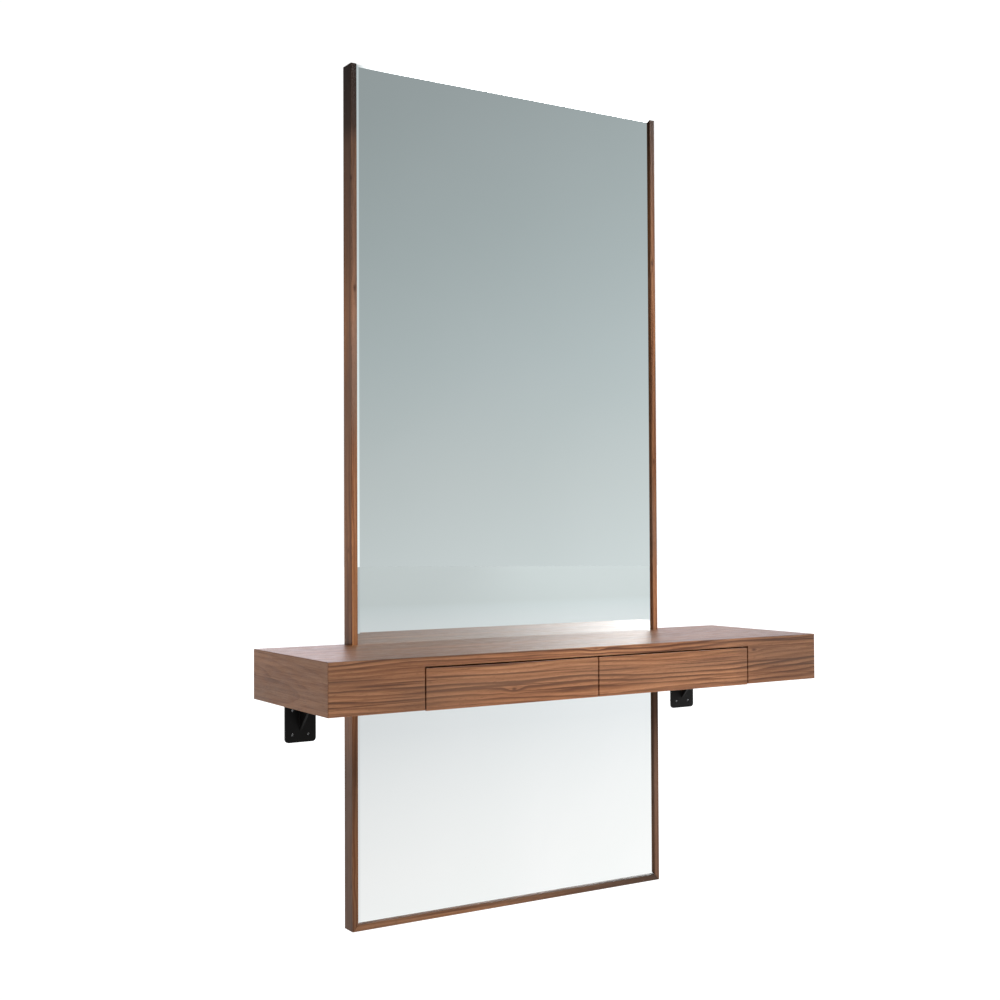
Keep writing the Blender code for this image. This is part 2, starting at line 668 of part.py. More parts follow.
# ---- Brackets ----------------------------------------------------------------------------------------
def build_bracket(side, sign, body):
    """A welded angle bracket: wall plate, leg under the shelf and a gusset between them."""
    half = BRACKET_W / 2
    radius = BRACKET_CORNER_R
    centre = sign * BRACKET_X
    seat = -GAP

    foot = arc(-half + radius, -BRACKET_H + radius, radius, 180, 270)
    foot += arc(half - radius, -BRACKET_H + radius, radius, 270, 360)
    plate = [(centre + x, z) for x, z in foot + [(half, seat), (-half, seat)]]
    bracket = add_piece(f"bracket_{side}", prism(plate, "Y", -BRACKET_T, 0.0), BLACK_STEEL, body)

    toe = arc(-half + radius, -BRACKET_LEG + radius, radius, 180, 270)
    toe += arc(half - radius, -BRACKET_LEG + radius, radius, 270, 360)
    sunk = -BRACKET_T / 2
    leg = [(centre + x, y) for x, y in toe + [(half, sunk), (-half, sunk)]]
    combine(bracket, prism(leg, "Z", seat - BRACKET_T, seat), f"{bracket.name}_leg", "UNION")

    under = seat - BRACKET_T / 2
    web = [
        (sunk, under),
        (-GUSSET_D, under),
        (-GUSSET_D, seat - BRACKET_T),
        (-BRACKET_T, -GUSSET_H),
        (sunk, -GUSSET_H),
    ]
    gusset = prism(web, "X", centre - GUSSET_T / 2, centre + GUSSET_T / 2)
    combine(bracket, gusset, f"{bracket.name}_gusset", "UNION")

    holes = []
    for row in range(2):
        for column in (-1, 1):
            place = (
                centre + column * WALL_HOLES_X / 2,
                -BRACKET_T,
                -BRACKET_H + WALL_HOLE_EDGE + row * WALL_HOLES_Z,
            )
            holes.append(hole(place, (0, 1, 0), BRACKET_T + OVERCUT))
            level = ("lower", "upper")[row]
            hand = "left" if column < 0 else "right"
            name = f"wall_screw_{side}_{level}_{hand}"
            add_screw(name, place, (0, 1, 0), BRACKET_T + WALL_SCREW_GRIP, body)
    for end, (x, y) in zip(("front", "rear"), leg_screw_places(sign)):
        place = (x, y, seat - BRACKET_T)
        holes.append(hole(place, (0, 0, 1), BRACKET_T + OVERCUT))
        length = BRACKET_T + GAP + BOTTOM_T - LEG_SCREW_COVER
        add_screw(f"leg_screw_{side}_{end}", place, (0, 0, 1), length, body)
    cut(bracket, join(holes), "screw_holes")


def main():
    """Builds the station."""
    clear_scene()
    station = add_body("station", (0, 0, 0))
    build_mirror(station)
    build_cleats(station)
    build_case(station)
    for side, sign in SIDES.items():
        centre = sign * (PANEL_T / 2 + BAY_HALF) / 2
        drawer = add_body(f"drawer_{side}", (centre, SHELF_FRONT, SLIDE_Z))
        middle = add_body(f"slide_middles_{side}", (centre, SLIDE_FRONT, SLIDE_Z))
        build_drawer(side, sign, drawer)
        build_slides(side, sign, station, middle, drawer)
        build_bracket(side, sign, station)


main()
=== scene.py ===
"""Salon styling station: the looks and the final meshes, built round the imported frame.

A tall wall mirror hangs on a cleat and a walnut shelf with two drawers is notched round its frame.
Every piece is made in the frame's own axes: the wall is y = 0, the room is on -Y, +X is to the right of
someone who faces the mirror and +Z is up. Lengths are in metres.
"""

from __future__ import annotations

import logging
import math
from collections.abc import Callable, Iterable, Mapping, Sequence
from dataclasses import dataclass, field
from enum import Enum

import bmesh
import bpy
from mathutils import Matrix, Vector


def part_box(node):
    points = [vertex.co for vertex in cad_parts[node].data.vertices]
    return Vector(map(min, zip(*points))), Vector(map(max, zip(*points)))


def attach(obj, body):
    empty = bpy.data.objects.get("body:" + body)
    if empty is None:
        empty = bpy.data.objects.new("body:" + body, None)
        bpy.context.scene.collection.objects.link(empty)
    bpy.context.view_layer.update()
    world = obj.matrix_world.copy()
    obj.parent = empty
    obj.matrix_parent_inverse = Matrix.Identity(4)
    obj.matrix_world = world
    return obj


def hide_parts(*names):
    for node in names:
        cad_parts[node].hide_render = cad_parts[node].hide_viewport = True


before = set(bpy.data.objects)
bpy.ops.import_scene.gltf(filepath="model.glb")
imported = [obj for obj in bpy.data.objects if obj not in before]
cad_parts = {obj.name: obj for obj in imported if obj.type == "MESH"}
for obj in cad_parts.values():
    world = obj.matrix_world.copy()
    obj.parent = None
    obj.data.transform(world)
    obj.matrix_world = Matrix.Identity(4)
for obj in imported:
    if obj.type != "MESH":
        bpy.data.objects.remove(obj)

LOG = logging.getLogger("styling_station")
TOUCH = 0.0003  # the frame's gap between pieces that touch
OVERCUT = 0.004  # how far a cutter runs past the face that it cuts
PLYWOOD_EASING = 0.0005  # width of the rounding on plywood
SHADE_PAINT_REACH = 0.002  # how far in from their fronts the partitions' edges are painted near-black: painted shade for the gaps round the drawers

SAME_PLACE = 1e-6  # points nearer than this are one
FLAT_ANGLE = math.radians(0.5)  # faces that turn less than this are one flat face
EASED_ANGLE = math.radians(28)  # edges sharper than this are rounded

Mesh = bmesh.types.BMesh
Vertex = bmesh.types.BMVert
Piece = bpy.types.Object
Socket = bpy.types.NodeSocket
Point = tuple[float, float]
Triple = tuple[float, float, float]
Outline = list[Point]
Colour = Triple


class Axis(Enum):
    """A direction of the frame. Its value is the index of the coordinate."""

    X = 0
    Y = 1
    Z = 2


class Side(Enum):
    """The two ends of the station. Its value is the sign of x there."""

    LEFT = -1
    RIGHT = 1

    @property
    def word(self) -> str:
        """The side's name in a node's name."""
        return self.name.lower()


class Slot(Enum):
    """The record's material slots."""

    WALNUT = "walnut"
    BIRCH = "birch_ply"
    GLASS = "silvered_glass"
    BLACK = "black_steel"
    ZINC = "zinc_steel"
    ALUMINIUM = "aluminium"


# ---- Outlines and meshes -----------------------------------------------------------------------------
PLACES: dict[Axis, Callable[[float, float, float], Triple]] = {
    Axis.X: lambda u, v, w: (w, u, v),
    Axis.Y: lambda u, v, w: (u, w, v),
    Axis.Z: lambda u, v, w: (u, v, w),
}


def rectangle(low_u: float, high_u: float, low_v: float, high_v: float) -> Outline:
    """The four corners of a rectangle."""
    return [(low_u, low_v), (high_u, low_v), (high_u, high_v), (low_u, high_v)]


def arc(centre: Point, radius: float, start: float, stop: float, steps: int = 8) -> Outline:
    """Points along an arc.

    Args:
        centre: Middle of the circle.
        radius: Its radius.
        start: First angle, in degrees.
        stop: Last angle, in degrees.
        steps: Number of straight stretches.

    Returns:
        The points, with both ends.
    """
    turns = [math.radians(start + (stop - start) * i / steps) for i in range(steps + 1)]
    return [(centre[0] + radius * math.cos(t), centre[1] + radius * math.sin(t)) for t in turns]


def thicken(path: Outline, thickness: float) -> Outline:
    """The outline of a strip of sheet metal whose middle follows a path.

    Args:
        path: Points along the middle of the strip.
        thickness: Thickness of the metal.

    Returns:
        The closed outline, one long face and then the other.
    """
    points = [Vector(point) for point in path]
    faces: tuple[Outline, Outline] = ([], [])
    for i, point in enumerate(points):
        before = (point - points[i - 1]).normalized() if i else Vector((0.0, 0.0))
        after = (points[i + 1] - point).normalized() if i + 1 < len(points) else Vector((0.0, 0.0))
        along = (before + after).normalized()
        normal = Vector((-along.y, along.x))
        spread = thickness / 2 / max(0.5, normal.dot(Vector((-after.y, after.x))) if i == 0 else
                                     normal.dot(Vector((-before.y, before.x))))
        for face, sign in zip(faces, (1, -1)):
            edge = point + normal * spread * sign
            face.append((edge.x, edge.y))
    return faces[0] + faces[1][::-1]


def loft(rings: Iterable[Iterable[Triple | Vector]], closed: bool = True) -> Mesh:
    """A mesh skinned over rings of points.

    Args:
        rings: The rings, each with as many points as the next.
        closed: Whether the first and the last ring are filled in.

    Returns:
        The mesh, with its faces turned out.
    """
    mesh = bmesh.new()
    made = [[mesh.verts.new(point) for point in ring] for ring in rings]
    if closed:
        mesh.faces.new(made[0])
        mesh.faces.new(made[-1])
    for first, last in zip(made, made[1:]):
        for i, corner in enumerate(first):
            j = (i + 1) % len(first)
            mesh.faces.new((corner, first[j], last[j], last[i]))
    bmesh.ops.recalc_face_normals(mesh, faces=mesh.faces)
    return mesh


def prism(outline: Outline, axis: Axis, low: float, high: float) -> Mesh:
    """A mesh of an outline carried along an axis.

    Args:
        outline: Points (y, z), (x, z) or (x, y) for the axis X, Y or Z.
        axis: Direction in which the outline is carried.
        low: Place of the first end.
        high: Place of the other end.

    Returns:
        The closed mesh.
    """
    return loft([PLACES[axis](u, v, end) for u, v in outline] for end in (low, high))


def block(low: Vector, high: Vector) -> Mesh:
    """A box mesh between two corners."""
    return prism(rectangle(low.x, high.x, low.y, high.y), Axis.Z, low.z, high.z)


def turned(profile: Outline, sides: int) -> Mesh:
    """A mesh turned about Z.

    Args:
        profile: Points (radius, height) that start and end on the axis.
        sides: Number of facets round the axis.

    Returns:
        The closed mesh.
    """
    turns = [math.tau * i / sides for i in range(sides)]
    mesh = loft(
        ([(radius * math.cos(t), radius * math.sin(t), height) for t in turns]
         for radius, height in profile[1:-1]),
        closed=False,
    )
    corners = list(mesh.verts)
    fan(mesh, corners[:sides], Vector((0.0, 0.0, profile[0][1])))
    fan(mesh, corners[-sides:], Vector((0.0, 0.0, profile[-1][1])))
    bmesh.ops.recalc_face_normals(mesh, faces=mesh.faces)
    return mesh


def fan(mesh: Mesh, ring: Sequence[Vertex], tip: Vector) -> None:
    """Closes a ring of vertices with triangles that meet at a tip.

    Args:
        mesh: Mesh that holds the ring.
        ring: The vertices, in order.
        tip: Where the triangles meet.
    """
    point = mesh.verts.new(tip)
    for i, corner in enumerate(ring):
        mesh.faces.new((corner, ring[(i + 1) % len(ring)], point))


def gather(parts: Iterable[Mesh]) -> Mesh:
    """One mesh that holds several closed shells. The parts are used up.

    Args:
        parts: The shells.

    Returns:
        The whole mesh.
    """
    whole = bmesh.new()
    for part in parts:
        data = bpy.data.meshes.new("part")
        part.to_mesh(data)
        part.free()
        whole.from_mesh(data)
        bpy.data.meshes.remove(data)
    return whole


def moved(mesh: Mesh, matrix: Matrix) -> Mesh:
    """The same mesh, moved by a matrix."""
    bmesh.ops.transform(mesh, matrix=matrix, verts=mesh.verts)
    return mesh


def copied(thing: Piece) -> Mesh:
    """A copy of an object's mesh.

    Args:
        thing: The object.

    Returns:
        The copy.
    """
    mesh = bmesh.new()
    mesh.from_mesh(thing.data)
    return mesh


def fill(thing: Piece, mesh: Mesh) -> None:
    """Puts a mesh into an object in place of its own. The mesh is used up."""
    mesh.to_mesh(thing.data)
    mesh.free()


def flatten(mesh: Mesh) -> Mesh:
    """The same mesh, with its flat faces whole again."""
    bmesh.ops.dissolve_limit(mesh, angle_limit=FLAT_ANGLE, verts=mesh.verts, edges=mesh.edges)
    return mesh


def from_frame(node: str) -> Mesh:
    """A copy of a frame node's mesh, with its flat faces whole again.

    Args:
        node: The frame node.

    Returns:
        The copy.
    """
    mesh = copied(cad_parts[node])
    bmesh.ops.remove_doubles(mesh, verts=mesh.verts, dist=SAME_PLACE)
    return flatten(mesh)


def place_object(name: str, mesh: Mesh) -> Piece:
    """An object at the frame's origin that holds a mesh. The mesh is used up.

    Args:
        name: The object's name.
        mesh: Its mesh.

    Returns:
        The object.
    """
    thing = bpy.data.objects.new(name, bpy.data.meshes.new(name))
    fill(thing, mesh)
    bpy.context.scene.collection.objects.link(thing)
    return thing


def settle(thing: Piece) -> None:
    """Applies an object's modifiers to its mesh.

    Args:
        thing: The object.
    """
    view = bpy.context.evaluated_depsgraph_get()
    view.update()
    done = bpy.data.meshes.new_from_object(
        thing.evaluated_get(view), preserve_all_data_layers=True, depsgraph=view
    )
    before = thing.data
    thing.modifiers.clear()
    thing.data = done
    done.name = thing.name
    bpy.data.meshes.remove(before)


def ease(thing: Piece, width: float, steps: int = 2) -> None:
    """Rounds the sharp edges of an object.

    Args:
        thing: The object.
        width: Width of the rounding.
        steps: Number of facets across it.
    """
    bevel = thing.modifiers.new("eased edges", "BEVEL")
    bevel.width = width
    bevel.segments = steps
    bevel.limit_method = "ANGLE"
    bevel.angle_limit = EASED_ANGLE
    settle(thing)


def carve(thing: Piece, mesh: Mesh, operation: str = "DIFFERENCE") -> None:
    """Cuts a mesh out of an object, or joins it on. The mesh is used up.

    Args:
        thing: The object.
        mesh: The cutter, or the mesh to join on.
        operation: DIFFERENCE to cut, or UNION to join.
    """
    helper = place_object("helper", mesh)
    modifier = thing.modifiers.new("helper", "BOOLEAN")
    modifier.operation = operation
    modifier.solver = "EXACT"
    modifier.object = helper
    settle(thing)
    data = helper.data
    bpy.data.objects.remove(helper)
    bpy.data.meshes.remove(data)


def smooth(thing: Piece, angle: float = 34.0) -> None:
    """Shades an object smooth, with crisp edges above an angle and flat faces that stay flat.

    Args:
        thing: The object.
        angle: Angle above which an edge stays crisp, in degrees.
    """
    thing.data.shade_smooth()
    thing.data.set_sharp_from_angle(angle=math.radians(angle))
    weighted = thing.modifiers.new("even shading", "WEIGHTED_NORMAL")
    weighted.keep_sharp = True
    weighted.weight = 90
    settle(thing)


# ---- Shader sheets -----------------------------------------------------------------------------------
Source = Socket | float | tuple[float, ...]
Inputs = Mapping[str | int, Source]
Stops = Sequence[tuple[float, Colour]]


class Sheet:
    """The node sheet of a material or a world, with short calls for the nodes that are used here."""

    def __init__(self, owner: bpy.types.Material | bpy.types.World) -> None:
        """Starts the sheet of a new material or world.

        Args:
            owner: The material or world.
        """
        owner.use_nodes = True
        self.owner = owner
        self.nodes = owner.node_tree.nodes
        self.links = owner.node_tree.links
        self.surface = self.nodes.get("Principled BSDF") or self.nodes["Background"]

    @classmethod
    def of_material(cls, name: str) -> Sheet:
        """The sheet of a new material."""
        return cls(bpy.data.materials.new(name))

    def feed(self, target: Socket, source: Source) -> None:
        """Links a socket to another, or sets its value.

        Args:
            target: Socket to feed.
            source: Socket or value that feeds it.
        """
        if isinstance(source, Socket):
            self.links.new(source, target)
        elif isinstance(source, tuple) and len(source) == 3 and target.type == "RGBA":
            target.default_value = (*source, 1.0)
        else:
            target.default_value = source

    def node(self, kind: str, inputs: Inputs, **settings: object) -> bpy.types.Node:
        """A new node.

        Args:
            kind: Its type, without the leading ShaderNode.
            inputs: What feeds its sockets, by name or number.
            **settings: Its other properties.

        Returns:
            The node.
        """
        made = self.nodes.new(f"ShaderNode{kind}")
        for name, value in settings.items():
            setattr(made, name, value)
        for key, source in inputs.items():
            self.feed(made.inputs[key], source)
        return made

    def dress(self, **inputs: Source) -> None:
        """Feeds the sockets of the surface shader. An underscore in a name stands for a space."""
        for name, source in inputs.items():
            self.feed(self.surface.inputs[name.replace("_", " ")], source)

    def place(self) -> Socket:
        """The point on the piece, in the frame's axes, which moves with the piece."""
        return self.node("TexCoord", {}).outputs["Object"]

    def maths(self, operation: str, *values: Source, clamp: bool = False) -> Socket:
        """A calculation with up to three numbers, held from 0 to 1 if asked."""
        return self.node("Math", dict(enumerate(values)), operation=operation, use_clamp=clamp).outputs[0]

    def total(self, first: Source, *others: Source, clamp: bool = False) -> Socket:
        """The sum of several numbers, held from 0 to 1 if asked.

        Args:
            first: First number.
            *others: The others, at least one.
            clamp: Whether the sum is held.

        Returns:
            The sum.
        """
        for value in others[:-1]:
            first = self.maths("ADD", first, value)
        return self.maths("ADD", first, others[-1], clamp=clamp)

    def scaled(self, value: Source, factor: Source) -> Socket:
        """A number times another."""
        return self.maths("MULTIPLY", value, factor)

    def vector(self, operation: str, *values: Source) -> bpy.types.Node:
        """A calculation with one or two vectors."""
        return self.node("VectorMath", dict(enumerate(values)), operation=operation)

    def parts(self, vector: Socket) -> list[Socket]:
        """The three numbers of a vector."""
        return list(self.node("SeparateXYZ", {0: vector}).outputs)

    def joined(self, x: Source, y: Source, z: Source) -> Socket:
        """A vector of three numbers."""
        return self.node("CombineXYZ", {0: x, 1: y, 2: z}).outputs[0]

    def stretched(self, vector: Socket, scale: Triple, shift: Triple = (0.0, 0.0, 0.0)) -> Socket:
        """A vector with each of its numbers scaled and then shifted."""
        return self.node("Mapping", {"Vector": vector, "Scale": scale, "Location": shift}).outputs[0]

    def noise(self, vector: Socket, scale: float = 1.0, detail: float = 2.0,
              roughness: float = 0.5, distortion: float = 0.0) -> Socket:
        """Soft noise from 0 to 1.

        Args:
            vector: Where the noise is read.
            scale: How tight it is.
            detail: How many finer layers it has.
            roughness: Strength of those layers.
            distortion: How far it is bent.

        Returns:
            The noise.
        """
        inputs = {
            "Vector": vector,
            "Scale": scale,
            "Detail": detail,
            "Roughness": roughness,
            "Distortion": distortion,
        }
        return self.node("TexNoise", inputs).outputs["Fac"]

    def drawn_out(self, log: Socket, along: float, across: float, shift: Triple = (0.0, 0.0, 0.0),
                  detail: float = 2.0, roughness: float = 0.5) -> Socket:
        """Noise drawn out along a log, from how tight it is along the grain and across it."""
        place = self.stretched(log, (along, across, across), shift)
        return self.noise(place, detail=detail, roughness=roughness)

    def spread(self, value: Source, low: float, high: float, to_low: float = 0.0,
               to_high: float = 1.0) -> Socket:
        """A number carried smoothly from one range to another, and held inside it."""
        inputs = {"Value": value, "From Min": low, "From Max": high, "To Min": to_low, "To Max": to_high}
        return self.node("MapRange", inputs, interpolation_type="SMOOTHSTEP").outputs["Result"]

    def band(self, value: Source, low: Point, high: Point) -> Socket:
        """A band: 0 outside it and 1 inside, with soft edges over the low and the high range."""
        return self.scaled(self.spread(value, *low), self.spread(value, *high, 1.0, 0.0))

    def ramp(self, value: Source, stops: Stops) -> Socket:
        """A colour read from a ramp.

        Args:
            value: Place on the ramp, from 0 to 1.
            stops: Places and linear colours, in rising order.

        Returns:
            The colour socket.
        """
        made = self.node("ValToRGB", {0: value})
        elements = made.color_ramp.elements
        while len(elements) < len(stops):
            elements.new(1.0)
        for element, (position, colour) in zip(elements, stops):
            element.position = position
            element.color = (*colour, 1.0)
        return made.outputs["Color"]

    def tinted(self, factor: Source, first: Source, second: Source, blend: str = "MIX") -> Socket:
        """Two colours mixed.

        Args:
            factor: Share of the second colour.
            first: First colour.
            second: Second colour.
            blend: Blend type of the mix.

        Returns:
            The mixed colour.
        """
        made = self.node("Mix", {}, data_type="RGBA", blend_type=blend)
        sockets = [socket for socket in made.inputs if socket.enabled]
        for socket, source in zip(sockets, (factor, first, second)):
            self.feed(socket, source)
        return next(socket for socket in made.outputs if socket.enabled)

    def filtered(self, colour: Source, through: Source) -> Socket:
        """A colour times another."""
        return self.tinted(1.0, colour, through, "MULTIPLY")

    def relief(self, height: Socket, depth: float, strength: float = 1.0) -> None:
        """Gives the surface a relief of a real depth."""
        bump = self.node("Bump", {"Height": height, "Distance": depth, "Strength": strength})
        self.dress(Normal=bump.outputs["Normal"])


# ---- Finishes ----------------------------------------------------------------------------------------
@dataclass(frozen=True)
class Cloud:
    """A soft noise in the frame's axes: how tight it is along each of them, and how fine and bent."""

    scale: Triple
    detail: float = 3.0
    bend: float = 0.0

    def noise(self, sheet: Sheet) -> Socket:
        """The noise on a sheet, from 0 to 1."""
        place = sheet.stretched(sheet.place(), self.scale)
        return sheet.noise(place, detail=self.detail, distortion=self.bend)


@dataclass(frozen=True)
class Knot:
    """A knot in a board: its middle, and how far the grain bends round it."""

    place: Triple
    reach: float


@dataclass(frozen=True)
class Walnut:
    """Satin-lacquered black walnut, cut from a log that lies along the grain.

    Attributes:
        name: Name of the material.
        grain: Direction of the grain.
        pith: Where the middle of the log lies, across the board and through it.
        ring: Mean width of a growth ring.
        shift: Moves the board along its log, so that two boards differ.
        contrast: Strength of the dark streaks.
        wave: How far the rings wander.
        warmth: 0 for greyish boards to 1 for reddish ones.
        shine: Strength of the reflection in the wood itself.
        haze: How much rougher than satin its surface is.
        lacquer: Strength of the clear coat over it.
        tones: Brightness along the grain, as places and factors in rising order; on the stiles it holds
            painted shade and painted light.
        knots: The knots in it.
        light: Colour of the pale early wood.
        middle: Colour between it and the streaks.
        dark: Colour of the streaks and of the open pores.
        grey: Colour that the greyish parts tend to.
        knot_colour: Colour of a knot's heart.
        pore_depth: Depth of the open pores.
    """

    name: str
    grain: Axis
    pith: Point
    ring: float = 0.0085
    shift: float = 0.0
    contrast: float = 1.0
    wave: float = 1.0
    warmth: float = 0.6
    shine: float = 0.30
    haze: float = 0.0
    lacquer: float = 0.10
    tones: tuple[Point, ...] = ((-1.0, 1.0), (1.0, 1.0))
    knots: tuple[Knot, ...] = ()
    light: Colour = (0.440, 0.195, 0.085)
    middle: Colour = (0.275, 0.105, 0.040)
    dark: Colour = (0.105, 0.033, 0.010)
    grey: Colour = (0.255, 0.140, 0.080)
    knot_colour: Colour = (0.045, 0.015, 0.006)
    pore_depth: float = 0.00006

    def material(self) -> bpy.types.Material:
        """Makes the node material.

        Returns:
            The material.
        """
        sheet = Sheet.of_material(self.name)
        place = sheet.place()
        log = self.log_axes(sheet, place)
        swirl, core = self.knot_fields(sheet, place)
        rings = self.rings(sheet, log, swirl)
        fibres = sheet.drawn_out(log, 9.0, 620.0, detail=4.0, roughness=0.65)
        strands = sheet.drawn_out(log, 5.0, 190.0, detail=3.0, roughness=0.6)
        pores = self.pores(sheet, log)
        broad = sheet.drawn_out(log, 1.6, 11.0, (self.shift, 3.1, 0.0), detail=3.0)

        tone = sheet.total(
            sheet.scaled(rings, 0.70 * self.contrast),
            sheet.spread(broad, 0.25, 0.75, 0.0, 0.34),
            sheet.spread(strands, 0.25, 0.75, -0.16, 0.24),
            self.lines(sheet, log),
            sheet.spread(fibres, 0.2, 0.8, -0.10, 0.16),
            clamp=True,
        )
        colour = sheet.ramp(tone, [(0.0, self.light), (0.42, self.middle), (1.0, self.dark)])
        hue = sheet.drawn_out(log, 2.3, 17.0, (self.shift, 7.7, 0.0), detail=1.0)
        greying = sheet.spread(hue, 0.35, 0.85, 0.0, 0.75 - 0.6 * self.warmth)
        colour = sheet.tinted(greying, colour, self.grey)
        colour = sheet.tinted(sheet.scaled(pores, 0.45), colour, self.dark)
        # Brightness along the board: on the stiles, painted shade under the shelf and painted light just
        # above it.
        colour = sheet.filtered(colour, self.toning(sheet, log))
        if self.knots:
            colour = sheet.tinted(core, colour, self.knot_colour)

        gloss = sheet.drawn_out(log, 30.0, 90.0, detail=3.0)
        sheet.dress(
            Base_Color=colour,
            Roughness=sheet.spread(gloss, 0.2, 0.8, 0.30 + self.haze, 0.42 + self.haze),
            Specular_IOR_Level=self.shine,
            Coat_Weight=self.lacquer,
            Coat_Roughness=0.24,
        )
        height = sheet.maths("SUBTRACT", sheet.scaled(fibres, 0.35), pores)
        sheet.relief(height, self.pore_depth, 0.7)
        return sheet.owner

    def toning(self, sheet: Sheet, log: Socket) -> Socket:
        """The slow change of tone along the board, as a grey to multiply by, which on the stiles is painted
        shade and painted light.

        Args:
            sheet: The material's sheet.
            log: The point in the log's axes.

        Returns:
            The grey.
        """
        along = sheet.maths("SUBTRACT", sheet.parts(log)[0], self.shift)
        first, last = self.tones[0][0], self.tones[-1][0]
        share = sheet.maths("DIVIDE", sheet.maths("SUBTRACT", along, first), last - first, clamp=True)
        brightest = max(factor for _, factor in self.tones)
        stops = [((at - first) / (last - first), (factor / brightest,) * 3) for at, factor in self.tones]
        grey = sheet.ramp(share, stops)
        return sheet.filtered(grey, (brightest,) * 3)

    def log_axes(self, sheet: Sheet, place: Socket) -> Socket:
        """The point as (along the grain, across the board, through the board).

        Args:
            sheet: The material's sheet.
            place: The point in the frame's axes.

        Returns:
            The point.
        """
        x, y, z = sheet.parts(place)
        along, across, through = {
            Axis.X: (x, z, y),
            Axis.Y: (y, z, x),
            Axis.Z: (z, x, y),
        }[self.grain]
        return sheet.joined(sheet.total(along, self.shift), across, through)

    def knot_fields(self, sheet: Sheet, place: Socket) -> tuple[Source, Source]:
        """How far the grain swells round the knots, and where their dark hearts are.

        Args:
            sheet: The material's sheet.
            place: The point in the frame's axes.

        Returns:
            Two numbers, which are 0 away from any knot.
        """
        swirl: Source = 0.0
        core: Source = 0.0
        # A knot's swirl is drawn out along the grain.
        squeeze = [1.0, 1.0, 1.0]
        squeeze[self.grain.value] = 0.45
        ragged = sheet.noise(sheet.stretched(place, (90.0, 90.0, 90.0))) if self.knots else 0.0
        for knot in self.knots:
            offset = sheet.vector("SUBTRACT", place, knot.place).outputs[0]
            offset = sheet.stretched(offset, tuple(squeeze))
            distance = sheet.vector("LENGTH", offset).outputs["Value"]
            distance = sheet.total(distance, sheet.scaled(ragged, 0.25 * knot.reach))
            swirl = sheet.total(swirl, sheet.spread(distance, 0.0, knot.reach * 1.6, 0.55, 0.0))
            heart = sheet.spread(distance, knot.reach * 0.15, knot.reach * 0.50, 0.75, 0.0)
            core = sheet.maths("MAXIMUM", core, heart)
        return swirl, core

    def rings(self, sheet: Sheet, log: Socket, swirl: Source) -> Socket:
        """The growth rings as a number: 0 in pale early wood, 1 in a dark streak.

        Args:
            sheet: The material's sheet.
            log: The point in the log's axes.
            swirl: How far the grain swells round a knot.

        Returns:
            The number.
        """
        drift = sheet.drawn_out(log, 1.3, 7.0, (self.shift, 0.0, 0.0))
        ripple = sheet.drawn_out(log, 7.0, 38.0, (0.0, self.shift, 0.0))
        _, across, through = sheet.parts(log)
        from_pith = [sheet.maths("SUBTRACT", at, pith) for at, pith in zip((across, through), self.pith)]
        flat = sheet.joined(*from_pith, 0.0)
        radius = sheet.total(
            sheet.vector("LENGTH", flat).outputs["Value"],
            sheet.scaled(drift, 0.075 * self.wave),
            sheet.scaled(ripple, 0.008 * self.wave),
        )
        count = sheet.total(sheet.maths("DIVIDE", radius, self.ring), swirl)
        streak = sheet.band(sheet.maths("FRACT", count), (0.25, 0.90), (0.93, 1.0))
        year = sheet.node("TexWhiteNoise", {"W": sheet.maths("FLOOR", count)}, noise_dimensions="1D")
        patchy = sheet.drawn_out(log, 3.0, 60.0, (self.shift, 5.0, 0.0))
        strength = sheet.scaled(sheet.spread(year.outputs["Value"], 0.0, 1.0, 0.25, 1.0),
                                sheet.spread(patchy, 0.3, 0.7, 0.55, 1.0))
        return sheet.scaled(streak, strength)

    def lines(self, sheet: Sheet, log: Socket) -> Socket:
        """The thin dark lines between the streaks, as darkness to add."""
        wander = sheet.drawn_out(log, 2.4, 160.0, (self.shift, 9.0, 2.0), detail=3.0, roughness=0.6)
        return sheet.spread(wander, 0.53, 0.70, -0.04, 0.55 * self.contrast)

    def pores(self, sheet: Sheet, log: Socket) -> Socket:
        """The open pores as short dark dashes: 1 inside a pore."""
        speck = sheet.drawn_out(log, 70.0, 1500.0, detail=1.0)
        return sheet.spread(speck, 0.60, 0.68)


@dataclass(frozen=True)
class BirchFace:
    """The pale face veneer of birch plywood, sealed but not glossy."""

    name: str
    grain: Axis
    pale: Colour = (0.640, 0.480, 0.300)
    tan: Colour = (0.480, 0.330, 0.190)

    def material(self) -> bpy.types.Material:
        """Makes the node material.

        Returns:
            The material.
        """
        sheet = Sheet.of_material(self.name)
        figure = Cloud(self.along_grain(26.0, 2.4), 4.0, 0.8).noise(sheet)
        fibre = Cloud(self.along_grain(420.0, 16.0)).noise(sheet)
        tone = sheet.total(sheet.scaled(figure, 0.75), sheet.scaled(fibre, 0.35))
        colour = sheet.ramp(tone, [(0.30, self.pale), (0.85, self.tan)])
        sheet.dress(Base_Color=colour, Roughness=sheet.spread(fibre, 0.2, 0.8, 0.48, 0.62))
        sheet.relief(fibre, 0.00005, 0.6)
        return sheet.owner

    def along_grain(self, across: float, along: float) -> Triple:
        """A noise's tightness across the grain and along it, as one number for each axis."""
        return tuple(along if axis is self.grain else across for axis in Axis)


